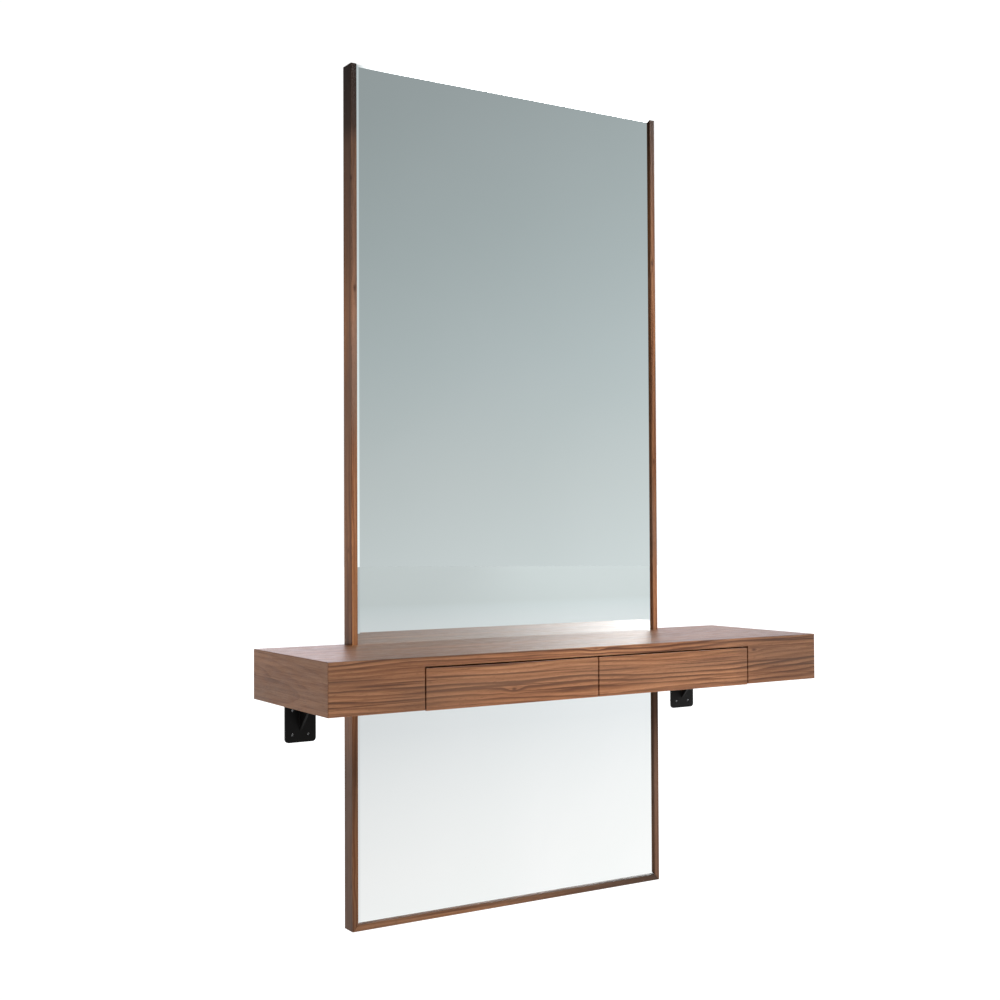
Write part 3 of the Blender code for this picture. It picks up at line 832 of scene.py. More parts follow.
@dataclass(frozen=True)
class BirchPlies:
    """The cut edge of birch plywood, with its plies in two tones.

    Attributes:
        name: Name of the material.
        through: Direction through the board.
        start: Place of one face of the board on that axis.
        stained_to: The edge is painted near-black as far as this place on y, as painted shade, so that it
            doesn't show in a gap.
        ply: Thickness of one ply.
    """

    name: str
    through: Axis
    start: float
    stained_to: float | None = None
    ply: float = 0.00125
    pale: Colour = (0.560, 0.400, 0.235)
    brown: Colour = (0.250, 0.145, 0.072)
    # Near-black colour of the painted shade on the partitions' front edges.
    stain: Colour = (0.012, 0.005, 0.003)
    stain_wander: float = 0.001
    stain_fade: float = 0.0005

    def material(self) -> bpy.types.Material:
        """Makes the node material.

        Returns:
            The material.
        """
        sheet = Sheet.of_material(self.name)
        place = sheet.place()
        grit = sheet.noise(sheet.stretched(place, (240.0, 240.0, 240.0)), detail=3.0)
        depth = sheet.maths("SUBTRACT", sheet.parts(place)[self.through.value], self.start)
        depth = sheet.total(depth, sheet.scaled(grit, 0.12 * self.ply))
        phase = sheet.maths("PINGPONG", sheet.maths("DIVIDE", depth, self.ply), 1.0)
        tone = sheet.total(sheet.spread(phase, 0.35, 0.65, 0.0, 0.7), sheet.scaled(grit, 0.4))
        colour = sheet.ramp(tone, [(0.1, self.pale), (0.95, self.brown)])
        # Painted shade: a partition's edge is near-black near its front, where the gaps round the drawers
        # are in shade.
        if self.stained_to is not None:
            depth_in = sheet.parts(place)[Axis.Y.value]
            edge = sheet.maths("MULTIPLY_ADD", grit, -self.stain_wander, depth_in)
            bare = sheet.spread(edge, self.stained_to, self.stained_to + self.stain_fade)
            colour = sheet.tinted(bare, self.stain, colour)
        sheet.dress(Base_Color=colour, Roughness=0.7)
        sheet.relief(grit, 0.0001, 0.5)
        return sheet.owner


@dataclass(frozen=True)
class Mottled:
    """A smooth finish of two near colours that run softly into each other.

    Attributes:
        name: Name of the material.
        first: Its main colour.
        second: The colour of its patches.
        patches: The noise that mixes the colours.
        mixed: Values of that noise between which the second colour sets in.
        rough: Least and greatest roughness.
        sheen: The noise that changes the roughness, if it isn't the patches' own.
        worn: Values of that noise between which the roughness rises.
        texture: The noise of the relief, if it isn't the sheen's.
        relief: Depth of the relief, or 0 for none.
        strength: Strength of the relief.
        metal: 1 for a metal.
        shine: Strength of the reflection of a finish that isn't metal.
        coat: Strength of the clear layer over it.
    """

    name: str
    first: Colour
    second: Colour
    patches: Cloud
    mixed: Point
    rough: Point
    sheen: Cloud | None = None
    worn: Point = (0.3, 0.7)
    texture: Cloud | None = None
    relief: float = 0.0
    strength: float = 0.5
    metal: float = 1.0
    shine: float = 0.5
    coat: float = 0.0

    def material(self) -> bpy.types.Material:
        """Makes the node material.

        Returns:
            The material.
        """
        sheet = Sheet.of_material(self.name)
        sheen = self.sheen or self.patches
        texture = self.texture or sheen
        noises = {cloud: cloud.noise(sheet) for cloud in dict.fromkeys((self.patches, sheen, texture))}
        least, greatest = self.rough
        even = least == greatest
        share = sheet.spread(noises[self.patches], *self.mixed)
        sheet.dress(
            Base_Color=sheet.tinted(share, self.first, self.second),
            Roughness=least if even else sheet.spread(noises[sheen], *self.worn, least, greatest),
            Metallic=self.metal,
            Specular_IOR_Level=self.shine,
            Coat_Weight=self.coat,
            Coat_Roughness=0.05,
        )
        if self.relief:
            sheet.relief(noises[texture], self.relief, self.strength)
        return sheet.owner


# Clear silvering behind float glass with a slightly green cast.
SILVERED_GLASS = Mottled(
    "mirror_silver", (0.905, 0.935, 0.925), (0.885, 0.920, 0.908),
    patches=Cloud((2.1, 2.1, 2.1), 4.0, 0.6), mixed=(0.3, 0.7), rough=(0.004, 0.018), worn=(0.45, 0.8),
)
# The ground edge of the mirror, green where light travels inside the glass.
GLASS_EDGE = Mottled(
    "mirror_edge", (0.115, 0.330, 0.250), (0.330, 0.560, 0.480),
    patches=Cloud((60.0, 900.0, 60.0)), mixed=(0.3, 0.7), rough=(0.12, 0.12), relief=0.00002,
    metal=0.0, coat=0.6,
)
# Black powder coat with a fine orange peel and a little dust.
POWDER_COAT = Mottled(
    "black_powder_coat", (0.0045, 0.0042, 0.0038), (0.0100, 0.0095, 0.0090),
    patches=Cloud((34.0, 34.0, 34.0), 4.0), mixed=(0.45, 0.75), rough=(0.40, 0.54),
    texture=Cloud((950.0, 950.0, 950.0), 2.0), relief=0.00008, strength=0.6, metal=0.0, shine=0.12,
)
# Bright zinc plate with a faint blue and straw tint, drawn along the slides.
ZINC_PLATE = Mottled(
    "zinc_plate", (0.500, 0.530, 0.560), (0.590, 0.570, 0.500),
    patches=Cloud((70.0, 70.0, 70.0)), mixed=(0.35, 0.65), rough=(0.22, 0.36),
    sheen=Cloud((1400.0, 25.0, 1400.0), 2.0), relief=0.00001,
)
# The dull grey plate of the screws, with darker grime.
SCREW_PLATE = Mottled(
    "screw_plate", (0.210, 0.215, 0.220), (0.090, 0.090, 0.092),
    patches=Cloud((310.0, 310.0, 310.0)), mixed=(0.35, 0.70), rough=(0.34, 0.50), relief=0.00002,
)
# Mill-finish aluminium with die lines along the extrusion.
EXTRUDED_ALUMINIUM = Mottled(
    "extruded_aluminium", (0.640, 0.650, 0.660), (0.520, 0.530, 0.540),
    patches=Cloud((4.0, 1900.0, 1900.0)), mixed=(0.3, 0.7), rough=(0.26, 0.40), relief=0.00002,
)
# Polished bearing steel with a film of grease.
BALL_STEEL = Mottled(
    "ball_steel", (0.560, 0.560, 0.570), (0.330, 0.300, 0.250),
    patches=Cloud((420.0, 420.0, 420.0), 2.0), mixed=(0.5, 0.8), rough=(0.08, 0.30), worn=(0.4, 0.8),
)

Finish = Walnut | BirchFace | BirchPlies | Mottled


class Store:
    """The materials that have been made, by name, so that pieces of one finish share it."""

    made: dict[str, bpy.types.Material] = {}

    @classmethod
    def get(cls, finish: Finish) -> bpy.types.Material:
        """The material of a finish, made on its first use.

        Args:
            finish: The finish.

        Returns:
            Its material.
        """
        if finish.name not in cls.made:
            cls.made[finish.name] = finish.material()
        return cls.made[finish.name]


def coat(thing: Piece, *finishes: Finish) -> None:
    """Gives an object its materials, and keeps which face has which.

    Args:
        thing: The object.
        *finishes: Its finishes, in the order of its face indices.
    """
    chosen = [face.material_index for face in thing.data.polygons]
    thing.data.materials.clear()
    for finish in finishes:
        thing.data.materials.append(Store.get(finish))
    for face, index in zip(thing.data.polygons, chosen):
        face.material_index = min(index, len(finishes) - 1)


def show_plies(thing: Piece, through: Axis) -> None:
    """Puts the cut edges of a board on its second material."""
    for face in thing.data.polygons:
        face.material_index = 0 if abs(face.normal[through.value]) > 0.7 else 1


def hand_over(thing: Piece, body: str, slot: Slot, *nodes: str) -> None:
    """Makes a finished piece ride on its body in place of frame nodes.

    Args:
        thing: The piece.
        body: Body that it moves with.
        slot: The record's slot of its finish; it is not used.
        *nodes: Frame nodes that it stands for.
    """
    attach(thing, body)
    if nodes:
        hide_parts(*nodes)
    LOG.info("%s on %s: %d faces", thing.name, body, len(thing.data.polygons))


def finished_board(node: str, body: str, easing: float, *finishes: Finish,
                   through: Axis | None = None) -> None:
    """Makes the final mesh of a board from its frame node.

    Args:
        node: The frame node.
        body: Body that it rides on.
        easing: Width of its rounded edges.
        *finishes: Its finish, and the one of its cut edges if it is plywood.
        through: Direction through the board, if its cut edges differ.
    """
    thing = place_object(f"{node}_board", from_frame(node))
    ease(thing, easing)
    smooth(thing)
    if through is not None:
        show_plies(thing, through)
    coat(thing, *finishes)
    slot = Slot.WALNUT if isinstance(finishes[0], Walnut) else Slot.BIRCH
    hand_over(thing, body, slot, node)


def plywood(node: str, body: str, through: Axis, grain: Axis) -> None:
    """Makes a birch plywood board, whose plies show on its edges.

    Args:
        node: The frame node.
        body: Body that it rides on.
        through: Direction through the board.
        grain: Direction of the grain of its face.
    """
    low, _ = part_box(node)
    stained_to = low.y + SHADE_PAINT_REACH if node.startswith("partition") else None
    plies = BirchPlies(f"birch_plies_{node}", through, low[through.value], stained_to)
    face = BirchFace(f"birch_face_{grain.name.lower()}", grain)
    finished_board(node, body, PLYWOOD_EASING, face, plies, through=through)


# ---- Mirror ------------------------------------------------------------------------------------------
@dataclass
class Mirror:
    """The framed glass with its backing board, top rail and batten."""

    bevel_width: float = 0.006
    bevel_depth: float = 0.0015
    bevel_crispness: float = 5.0
    easing: float = 0.0007
    stile_grey: Colour = (0.255, 0.148, 0.102)
    rail_tones: tuple[Point, ...] = ((-0.41, 0.58), (-0.10, 0.60), (0.10, 0.44), (0.41, 0.20))
    # Brightness along each stile: painted shade under the shelf (z below 0), painted light just above it on
    # the right stile, and darker towards the top.
    stile_tones: dict[Side, tuple[Point, ...]] = field(default_factory=lambda: {
        Side.LEFT: ((-0.50, 0.44), (-0.30, 0.48), (-0.17, 0.42), (-0.06, 0.80), (0.10, 0.95),
                    (0.35, 1.10), (0.50, 1.05), (0.65, 0.90), (0.80, 1.08), (0.92, 0.72),
                    (1.08, 0.52), (1.16, 0.42), (1.20, 0.16), (1.34, 0.05)),
        Side.RIGHT: ((-0.50, 0.60), (-0.25, 0.62), (-0.14, 0.36), (-0.04, 0.22), (0.02, 1.50),
                     (0.14, 1.60), (0.32, 1.05), (0.52, 0.78), (0.80, 0.92), (1.05, 0.75),
                     (1.22, 0.36), (1.34, 0.15)),
    })
    knots: dict[Side, tuple[Knot, ...]] = field(default_factory=lambda: {
        Side.LEFT: (
            Knot((-0.407, -0.037, 1.087), 0.015),
            Knot((-0.398, -0.038, 0.854), 0.014),
            Knot((-0.404, -0.033, -0.402), 0.014),
            Knot((-0.408, -0.020, 0.300), 0.012),
        ),
        Side.RIGHT: (
            Knot((0.397, -0.038, 0.985), 0.013),
            Knot((0.398, -0.037, 0.505), 0.013),
            Knot((0.404, -0.033, -0.310), 0.012),
        ),
    })

    def build(self) -> None:
        """Builds every piece of the mirror."""
        for side in Side:
            self.build_stile(side)
        rail = Walnut("walnut_bottom_rail", Axis.X, (-0.66, 0.05), ring=0.006, shift=1.7, warmth=0.2,
                      shine=0.20, lacquer=0.05, tones=self.rail_tones)
        finished_board("bottom_rail", "root", self.easing, rail)
        self.build_glass()
        top = Walnut("walnut_top_rail", Axis.X, (1.15, 0.06), shift=4.4, warmth=0.4)
        finished_board("top_rail", "root", self.easing, top)
        batten = Walnut("walnut_batten", Axis.X, (-0.12, 0.07), shift=6.1, warmth=0.4)
        finished_board("lower_batten", "root", self.easing, batten)
        plywood("backing_board", "root", Axis.Y, Axis.Z)

    def build_stile(self, side: Side) -> None:
        """Builds one stile, which is grooved for the backing board and mitred at its foot.

        Args:
            side: The end of the station that it is on.
        """
        finish = Walnut(
            f"walnut_stile_{side.word}",
            Axis.Z,
            (side.value * 0.452, 0.012),
            ring=0.0065,
            shift=2.2 + side.value,
            contrast=0.8,
            wave=0.6,
            warmth=-0.4,
            shine=0.10,
            lacquer=0.0,
            tones=self.stile_tones[side],
            knots=self.knots[side],
            grey=self.stile_grey,
        )
        finished_board(f"stile_{side.word}", "root", self.easing, finish)

    def build_glass(self) -> None:
        """Builds the glass: a sheet whose face is raised inside a bevel all round."""
        low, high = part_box("mirror_glass")
        step = low.y + self.bevel_depth
        inset = self.bevel_width
        rings = []
        for y, back in ((high.y, 0.0), (step, 0.0), (low.y, inset)):
            corners = rectangle(low.x + back, high.x - back, low.z + back, high.z - back)
            rings.append([(x, y, z) for x, z in corners])
        thing = place_object("mirror_pane", loft(rings))
        for face in thing.data.polygons:
            face.material_index = 0 if face.normal.y < -0.5 else 1
        smooth(thing, self.bevel_crispness)
        coat(thing, SILVERED_GLASS, GLASS_EDGE)
        hand_over(thing, "root", Slot.GLASS, "mirror_glass")


# ---- Hanging cleats ----------------------------------------------------------------------------------
@dataclass
class Cleats:
    """The two interlocking aluminium rails that the mirror hangs on."""

    easing: float = 0.0004

    def build(self) -> None:
        """Builds both rails."""
        for node in ("frame_cleat", "wall_cleat"):
            thing = place_object(f"{node}_rail", from_frame(node))
            ease(thing, self.easing)
            smooth(thing)
            coat(thing, EXTRUDED_ALUMINIUM)
            hand_over(thing, "root", Slot.ALUMINIUM, node)


# ---- Shelf case --------------------------------------------------------------------------------------
@dataclass
class MitredBoard:
    """A board of the shelf's skin, whose edges are mitred and share a rounded arris with their neighbours.

    Attributes:
        axis: Direction through the board.
        outer: Place of its outer face.
        inner: Place of its inner face.
        face: Its outline without the rounding, as (low, high, low, high).
        mitred: Which of those four edges are mitred.
        rounding: Radius of the shared arris.
        steps: Number of facets on this board's half of it.
    """

    axis: Axis
    outer: float
    inner: float
    face: tuple[float, float, float, float]
    mitred: tuple[bool, bool, bool, bool]
    rounding: float = 0.0011
    steps: int = 3

    def mesh(self) -> Mesh:
        """Lofts the board through rings of corners, from its outer face inwards.

        Returns:
            The closed mesh.
        """
        thickness = abs(self.inner - self.outer)
        inward = math.copysign(1.0, self.inner - self.outer)
        levels = []
        for i in range(self.steps + 1):
            turn = math.radians(45.0 * i / self.steps)
            levels.append((self.rounding * (1 - math.cos(turn)), self.rounding * (1 - math.sin(turn))))
        levels.append((thickness, thickness))
        rings = []
        for depth, inset in levels:
            edges = [
                edge + (inset if mitred else 0.0) * (1 if i % 2 == 0 else -1)
                for i, (edge, mitred) in enumerate(zip(self.face, self.mitred))
            ]
            at = self.outer + inward * depth
            rings.append([PLACES[self.axis](u, v, at) for u, v in rectangle(*edges)])
        return loft(rings)


@dataclass
class ShelfCase:
    """The shelf's box: mitred walnut skin, floor, partitions and back rails."""

    opening_easing: float = 0.0005
    side_gap: float = 0.0015
    notch_fit: float = 0.0006
    front_tones: tuple[Point, ...] = ((-0.60, 0.76), (-0.42, 0.79), (-0.25, 1.10), (0.15, 1.13),
                                      (0.36, 1.05), (0.45, 0.76), (0.60, 0.69))
    knots: tuple[Knot, ...] = (
        Knot((0.425, -0.3556, 0.074), 0.013),
        Knot((-0.009, -0.352, 0.097), 0.015),
        Knot((-0.206, -0.3556, 0.0276), 0.011),
    )
    top_knots: tuple[Knot, ...] = (Knot((0.030, -0.270, 0.1016), 0.020),)

    @property
    def front_walnut(self) -> Walnut:
        """The walnut that runs on from the front frame over both drawer fronts."""
        return Walnut("walnut_front", Axis.X, (-0.31, -0.42), ring=0.0105, shift=0.4, contrast=1.8,
                      wave=1.0, warmth=0.65, tones=self.front_tones, knots=self.knots)

    def build(self) -> None:
        """Builds every fixed piece of the shelf."""
        self.build_top()
        self.build_front()
        for side in Side:
            self.build_end(side)
        under = Walnut("walnut_floor", Axis.X, (-0.09, -0.18), shift=9.3, warmth=0.4)
        finished_board("bottom_board", "root", self.opening_easing, under)
        for name in ("left", "centre", "right"):
            plywood(f"partition_{name}", "root", Axis.X, Axis.Y)
            plywood(f"back_rail_{name}", "root", Axis.Y, Axis.X)

    def build_top(self) -> None:
        """Builds the top board, notched round the mirror."""
        low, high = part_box("top_board")
        board = MitredBoard(Axis.Z, high.z, low.z, (low.x, high.x, low.y, high.y), (True, True, True, False))
        thing = place_object("shelf_top", board.mesh())
        carve(thing, self.notch(low.z, high.z))
        smooth(thing)
        coat(thing, Walnut("walnut_top", Axis.X, (-0.045, -0.205), ring=0.0080, shift=2.9, contrast=1.1,
                           warmth=0.35, shine=0.25, haze=0.02, lacquer=0.0, knots=self.top_knots,
                           tones=((-1.0, 0.80), (1.0, 0.80))))
        hand_over(thing, "root", Slot.WALNUT, "top_board")

    def notch(self, low: float, high: float) -> Mesh:
        """The cutter that lets the top pass round the stiles and reach the glass between them.

        Args:
            low: Underside of the board.
            high: Upper side of the board.

        Returns:
            The cutter.
        """
        stile_low, stile_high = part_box("stile_right")
        glass_low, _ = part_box("mirror_glass")
        outer = stile_high.x + self.side_gap
        inner = stile_low.x - self.notch_fit
        before_stile = stile_low.y - self.notch_fit
        right = [(outer, OVERCUT), (outer, before_stile), (inner, before_stile),
                 (inner, glass_low.y - self.notch_fit)]
        outline = right + [(-x, y) for x, y in reversed(right)]
        return prism(outline, Axis.Z, low - OVERCUT, high + OVERCUT)

    def build_front(self) -> None:
        """Builds the front frame, with an eased opening for the drawers."""
        low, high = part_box("front_frame")
        drawer_low, drawer_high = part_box("drawer_right_front")
        reveal = drawer_low.x * 2
        board = MitredBoard(Axis.Y, low.y, high.y, (low.x, high.x, low.z, high.z), (True, True, False, True))
        thing = place_object("shelf_front", board.mesh())
        half = drawer_high.x + reveal
        top = drawer_high.z + reveal
        opening = block(Vector((-half, low.y - OVERCUT, low.z - OVERCUT)),
                        Vector((half, high.y + OVERCUT, top)))
        carve(thing, opening)
        self.ease_opening(thing, half, top, low.y)
        smooth(thing)
        coat(thing, self.front_walnut)
        hand_over(thing, "root", Slot.WALNUT, "front_frame")

    def ease_opening(self, thing: Piece, half: float, top: float, front: float) -> None:
        """Rounds the front edges of the drawer opening, and only those.

        Args:
            thing: The front frame.
            half: Half the width of the opening.
            top: Height of its upper edge.
            front: Place of the frame's front on y.
        """
        mesh = copied(thing)
        near = 1e-5
        sharp = math.radians(57)

        def on_rim(point: Vector) -> bool:
            """Tells whether a point lies on the opening's front rim."""
            flush = abs(point.y - front) < near
            return flush and abs(point.x) < half + near and point.z < top + near

        rim = [edge for edge in mesh.edges if all(on_rim(vert.co) for vert in edge.verts)
               and edge.calc_face_angle(0.0) > sharp]
        bmesh.ops.bevel(mesh, geom=rim, offset=self.opening_easing, segments=2, profile=0.5,
                        affect="EDGES", clamp_overlap=True)
        fill(thing, mesh)

    def build_end(self, side: Side) -> None:
        """Builds one end of the shelf.

        Args:
            side: Which end.
        """
        low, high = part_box(f"end_{side.word}")
        outer, inner = (low.x, high.x) if side is Side.LEFT else (high.x, low.x)
        board = MitredBoard(Axis.X, outer, inner, (low.y, high.y, low.z, high.z), (True, False, False, True))
        thing = place_object(f"shelf_end_{side.word}", board.mesh())
        smooth(thing)
        coat(thing, Walnut(f"walnut_end_{side.word}", Axis.Y, (0.035, side.value * 0.56), ring=0.012,
                           shift=5.2 + side.value, contrast=0.42, wave=1.5, warmth=0.15, shine=0.15,
                           lacquer=0.0, tones=((-1.0, 0.80), (1.0, 0.80))))
        hand_over(thing, "root", Slot.WALNUT, f"end_{side.word}")


# ---- Drawers -----------------------------------------------------------------------------------------
@dataclass
class Drawer:
    """One drawer: its walnut front with a finger cove, and its plywood box."""

    side: Side
    front_walnut: Walnut
    lip_thickness: float = 0.008
    lip_height: float = 0.012
    groove_depth: float = 0.005
    easing: float = 0.0007

    @property
    def body(self) -> str:
        """The body that the drawer is."""
        return f"drawer_{self.side.word}"

    def build(self) -> None:
        """Builds the front and the box."""
        self.build_front()
        for flank in ("inner", "outer"):
            plywood(f"{self.body}_{flank}_side", self.body, Axis.X, Axis.Y)
        plywood(f"{self.body}_back", self.body, Axis.Y, Axis.X)
        plywood(f"{self.body}_bottom", self.body, Axis.Z, Axis.X)

    def build_front(self) -> None:
        """Builds the front: a finely rounded cove along its lower edge and a groove for the floor."""
        low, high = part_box(f"{self.body}_front")
        floor_low, floor_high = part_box(f"{self.body}_bottom")
        cove = high.y - low.y - self.lip_thickness
        profile = [(low.y, low.z), (low.y + self.lip_thickness, low.z)]
        profile += arc((high.y, low.z + self.lip_height), cove, 180, 90, 16)
        profile += [(high.y, high.z), (low.y, high.z)]
        thing = place_object(f"{self.body}_face", prism(profile, Axis.X, low.x, high.x))
        ease(thing, self.easing)
        groove_low = Vector((floor_low.x - TOUCH, high.y - self.groove_depth, floor_low.z - TOUCH))
        groove_high = Vector((floor_high.x + TOUCH, high.y + OVERCUT, floor_high.z + TOUCH))
        carve(thing, block(groove_low, groove_high))
        smooth(thing)
        coat(thing, self.front_walnut)
        hand_over(thing, self.body, Slot.WALNUT, f"{self.body}_front")


# ---- Drawer slides -----------------------------------------------------------------------------------
@dataclass
class BallCage:
    """A retainer strip with its row of balls."""

    ball: float = 0.00135
    pitch: float = 0.0095
    strip: float = 0.0005
    width: float = 0.0042
    facets: tuple[int, int] = (12, 8)

    def mesh(self, u: float, z: float, front: float, count: int) -> Mesh:
        """The strip and its balls.

        Args:
            u: Place of the balls on x.
            z: Height of the balls.
            front: Place of the strip's front end on y.
            count: Number of balls.

        Returns:
            One mesh of closed shells.
        """
        half = self.width / 2
        length = count * self.pitch
        low = Vector((u - half, front, z - self.strip / 2))
        high = Vector((u + half, front + length, z + self.strip / 2))
        parts = [block(low, high)]
        around, upright = self.facets
        for i in range(count):
            ball = bmesh.new()
            bmesh.ops.create_uvsphere(ball, u_segments=around, v_segments=upright, radius=self.ball)
            parts.append(moved(ball, Matrix.Translation((u, front + (i + 0.5) * self.pitch, z))))
        return gather(parts)


@dataclass
class DrawerSlides:
    """The two telescopic slides of one drawer, with rolled races, balls and cages."""

    side: Side
    steel: float = 0.0012
    roll: float = 0.0018
    easing: float = 0.0002
    balls: int = 12
    ball_crispness: float = 50.0
    cage_room: float = 0.006
    slot_radius: float = 0.0022
    slot_reach: float = 0.002
    # Each slot's place along the member, as a share of its length, and half the slot's own length.
    slots: tuple[Point, ...] = ((0.14, 0.0042), (0.50, 0.0024), (0.86, 0.0042))

    def build(self) -> None:
        """Builds the three members of each slide and its cages."""
        for flank in ("outer", "inner"):
            stem = f"slide_{self.side.word}_{flank}"
            owners = {
                "cabinet": "root",
                "middle": f"slide_middles_{self.side.word}",
                "drawer": f"drawer_{self.side.word}",
            }
            for member, body in owners.items():
                self.build_member(f"{stem}_{member}", body)
            self.build_cages(stem, owners["middle"])

    def opens_to(self, stem: str) -> float:
        """The sign of x towards which a cabinet member's channel opens.

        Args:
            stem: The slide's name.

        Returns:
            1 or -1.
        """
        cabinet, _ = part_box(f"{stem}_cabinet")
        drawer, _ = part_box(f"{stem}_drawer")
        return 1.0 if drawer.x > cabinet.x else -1.0

    def build_member(self, node: str, body: str) -> None:
        """Builds one member: a channel with rolled corners.

        Args:
            node: The frame node.
            body: Body that it rides on.
        """
        low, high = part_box(node)
        opening = self.opens_to(node.rsplit("_", 1)[0])
        if node.endswith("drawer"):
            opening = -opening
        web, tip = (low.x, high.x) if opening > 0 else (high.x, low.x)
        centre = (low.z + high.z) / 2
        half = (high.z - low.z) / 2 - self.steel / 2
        start = web + opening * self.steel / 2
        # The upper rolled corner; the lower one mirrors it.
        corner = [
            (start + opening * (self.roll - u), half - self.roll + v)
            for u, v in arc((0.0, 0.0), self.roll, 0, 90, 5)
        ]
        upper = corner + [(tip, half)]
        path = [(u, centre - v) for u, v in reversed(upper)] + [(u, centre + v) for u, v in upper]
        thing = place_object(f"{node}_channel", prism(thicken(path, self.steel), Axis.Y, low.y, high.y))
        self.pierce(thing, node, start, centre)
        ease(thing, self.easing, 1)
        smooth(thing)
        coat(thing, ZINC_PLATE)
        hand_over(thing, body, Slot.ZINC, node)

    def pierce(self, thing: Piece, node: str, web: float, centre: float) -> None:
        """Punches the fixing slots through a member's web.

        Args:
            thing: The member.
            node: Its frame node.
            web: Place of the web on x.
            centre: Height of its middle.
        """
        low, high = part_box(node)
        radius, reach = self.slot_radius, self.slot_reach
        for share, half in self.slots:
            middle = low.y + share * (high.y - low.y)
            outline = arc((middle + half - radius, centre), radius, -90, 90, 8)
            outline += arc((middle - half + radius, centre), radius, 90, 270, 8)
            carve(thing, prism(outline, Axis.X, web - reach, web + reach))

    def build_cages(self, stem: str, body: str) -> None:
        """Builds the four rows of balls of one slide, which travel with its middle member.

        Args:
            stem: The slide's name.
            body: Body that the cages ride on.
        """
        cabinet_low, cabinet_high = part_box(f"{stem}_cabinet")
        middle_low, middle_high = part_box(f"{stem}_middle")
        _, drawer_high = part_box(f"{stem}_drawer")
        cage = BallCage()
        u = (middle_low.x + middle_high.x) / 2
        length = self.balls * cage.pitch
        rows = []
        for upper in (False, True):
            pairs = (
                (cabinet_high.z - self.steel, middle_high.z, cabinet_high.y - length - self.cage_room),
                (middle_high.z - self.steel, drawer_high.z, cabinet_low.y + self.cage_room),
            )
            centre = (cabinet_low.z + cabinet_high.z) / 2
            for race_a, race_b, front in pairs:
                z = (race_a + race_b) / 2
                z = z if upper else 2 * centre - z
                rows.append(cage.mesh(u, z, front, self.balls))
        thing = place_object(f"{stem}_ball_cages", gather(rows))
        smooth(thing, self.ball_crispness)
        coat(thing, BALL_STEEL)
        hand_over(thing, body, Slot.ZINC)


# ---- Screws ------------------------------------------------------------------------------------------
@dataclass(frozen=True)
class PanScrew:
    """A pan-head screw with a cross recess and a rolled thread. It points down -Z from under its head."""

    head_radius: float = 0.0046
    head_height: float = 0.0028
    shank_radius: float = 0.0025
    core: float = 0.0016
    pitch: float = 0.0022
    taper: float = 0.007
    sides: int = 16
    head_sides: int = 32
    recess_mouth: Point = (0.0026, 0.00055)
    recess_foot: Point = (0.0010, 0.0003)
    recess_depth: float = 0.0022
    recess_overcut: float = 0.0004
    crispness: float = 40.0

    def head(self) -> Mesh:
        """The head: a low dome with a rounded rim.

        Returns:
            The closed mesh.
        """
        dome = [(0.0, self.head_height), (0.35 * self.head_radius, 0.985 * self.head_height)]
        dome += [
            (self.head_radius * (0.72 + 0.28 * u), self.head_height * (0.28 + 0.68 * v))
            for u, v in arc((0.0, 0.0), 1.0, 84, 0, 7)
        ]
        dome += [(self.head_radius, TOUCH), (0.0, TOUCH)]
        return turned(dome, self.head_sides)

    def recess(self) -> Mesh:
        """The cutter of the cross recess: two tapered bars.

        Returns:
            The cutter.
        """
        top = self.head_height + self.recess_overcut
        rings = []
        for (reach, half), z in ((self.recess_mouth, top), (self.recess_foot, top - self.recess_depth)):
            rings.append([(x, y, z) for x, y in rectangle(-reach, reach, -half, half)])
        return gather(moved(loft(rings), Matrix.Rotation(turn, 4, "Z")) for turn in (0.0, math.pi / 2))

    def thread(self, length: float) -> Mesh:
        """The shank with its helical thread and its point.

        Args:
            length: Distance from under the head to the point.

        Returns:
            The closed mesh.
        """
        mesh = bmesh.new()
        # One turn of the thread, as shares of the pitch and the radius at each.
        profile = [(0.0, self.core), (0.30, self.core), (0.42, self.shank_radius), (0.54, self.core)]
        start, thinnest = 0.001, 0.10
        turns = max(2, int((length - 2 * self.pitch) / self.pitch))
        rows: list[list[Vertex]] = []
        for row in range(turns * len(profile) + 1):
            share, radius = profile[row % len(profile)]
            ring = []
            for i in range(self.sides):
                z = start - (row // len(profile) + share + i / self.sides) * self.pitch
                slim = radius * min(1.0, max(thinnest, (length + z) / self.taper))
                angle = math.tau * i / self.sides
                ring.append(mesh.verts.new((slim * math.cos(angle), slim * math.sin(angle), z)))
            rows.append(ring)
        step = len(profile)
        for row in range(len(rows) - 1):
            for i in range(self.sides - 1):
                mesh.faces.new((rows[row][i], rows[row][i + 1], rows[row + 1][i + 1], rows[row + 1][i]))
            if row + step + 1 < len(rows):
                mesh.faces.new((rows[row][-1], rows[row + step][0], rows[row + step + 1][0],
                                rows[row + 1][-1]))
        first = rows[0] + [rows[i][0] for i in range(step, 0, -1)]
        last = [rows[-1 - i][-1] for i in range(step, 0, -1)] + rows[-1][::-1]
        fan(mesh, first, Vector((0.0, 0.0, start)))
        fan(mesh, last, Vector((0.0, 0.0, -length)))
        bmesh.ops.recalc_face_normals(mesh, faces=mesh.faces)
        return mesh

    def build(self, node: str, toward: Vector) -> None:
        """Builds one screw where a frame node is.

        Args:
            node: The frame node.
            toward: Direction of its point.
        """
        low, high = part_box(node)
        middle = (low + high) / 2
        reach = abs((high - low).dot(toward))
        under_head = middle - toward * (reach / 2 - self.head_height)
        thing = place_object(f"{node}_pan_head", self.head())
        carve(thing, self.recess())
        turn = Vector((0, 0, -1)).rotation_difference(toward).to_matrix().to_4x4()
        whole = gather([copied(thing), self.thread(reach - self.head_height)])
        fill(thing, moved(whole, Matrix.Translation(under_head) @ turn))
        smooth(thing, self.crispness)
        coat(thing, SCREW_PLATE)
        hand_over(thing, "root", Slot.ZINC, node)


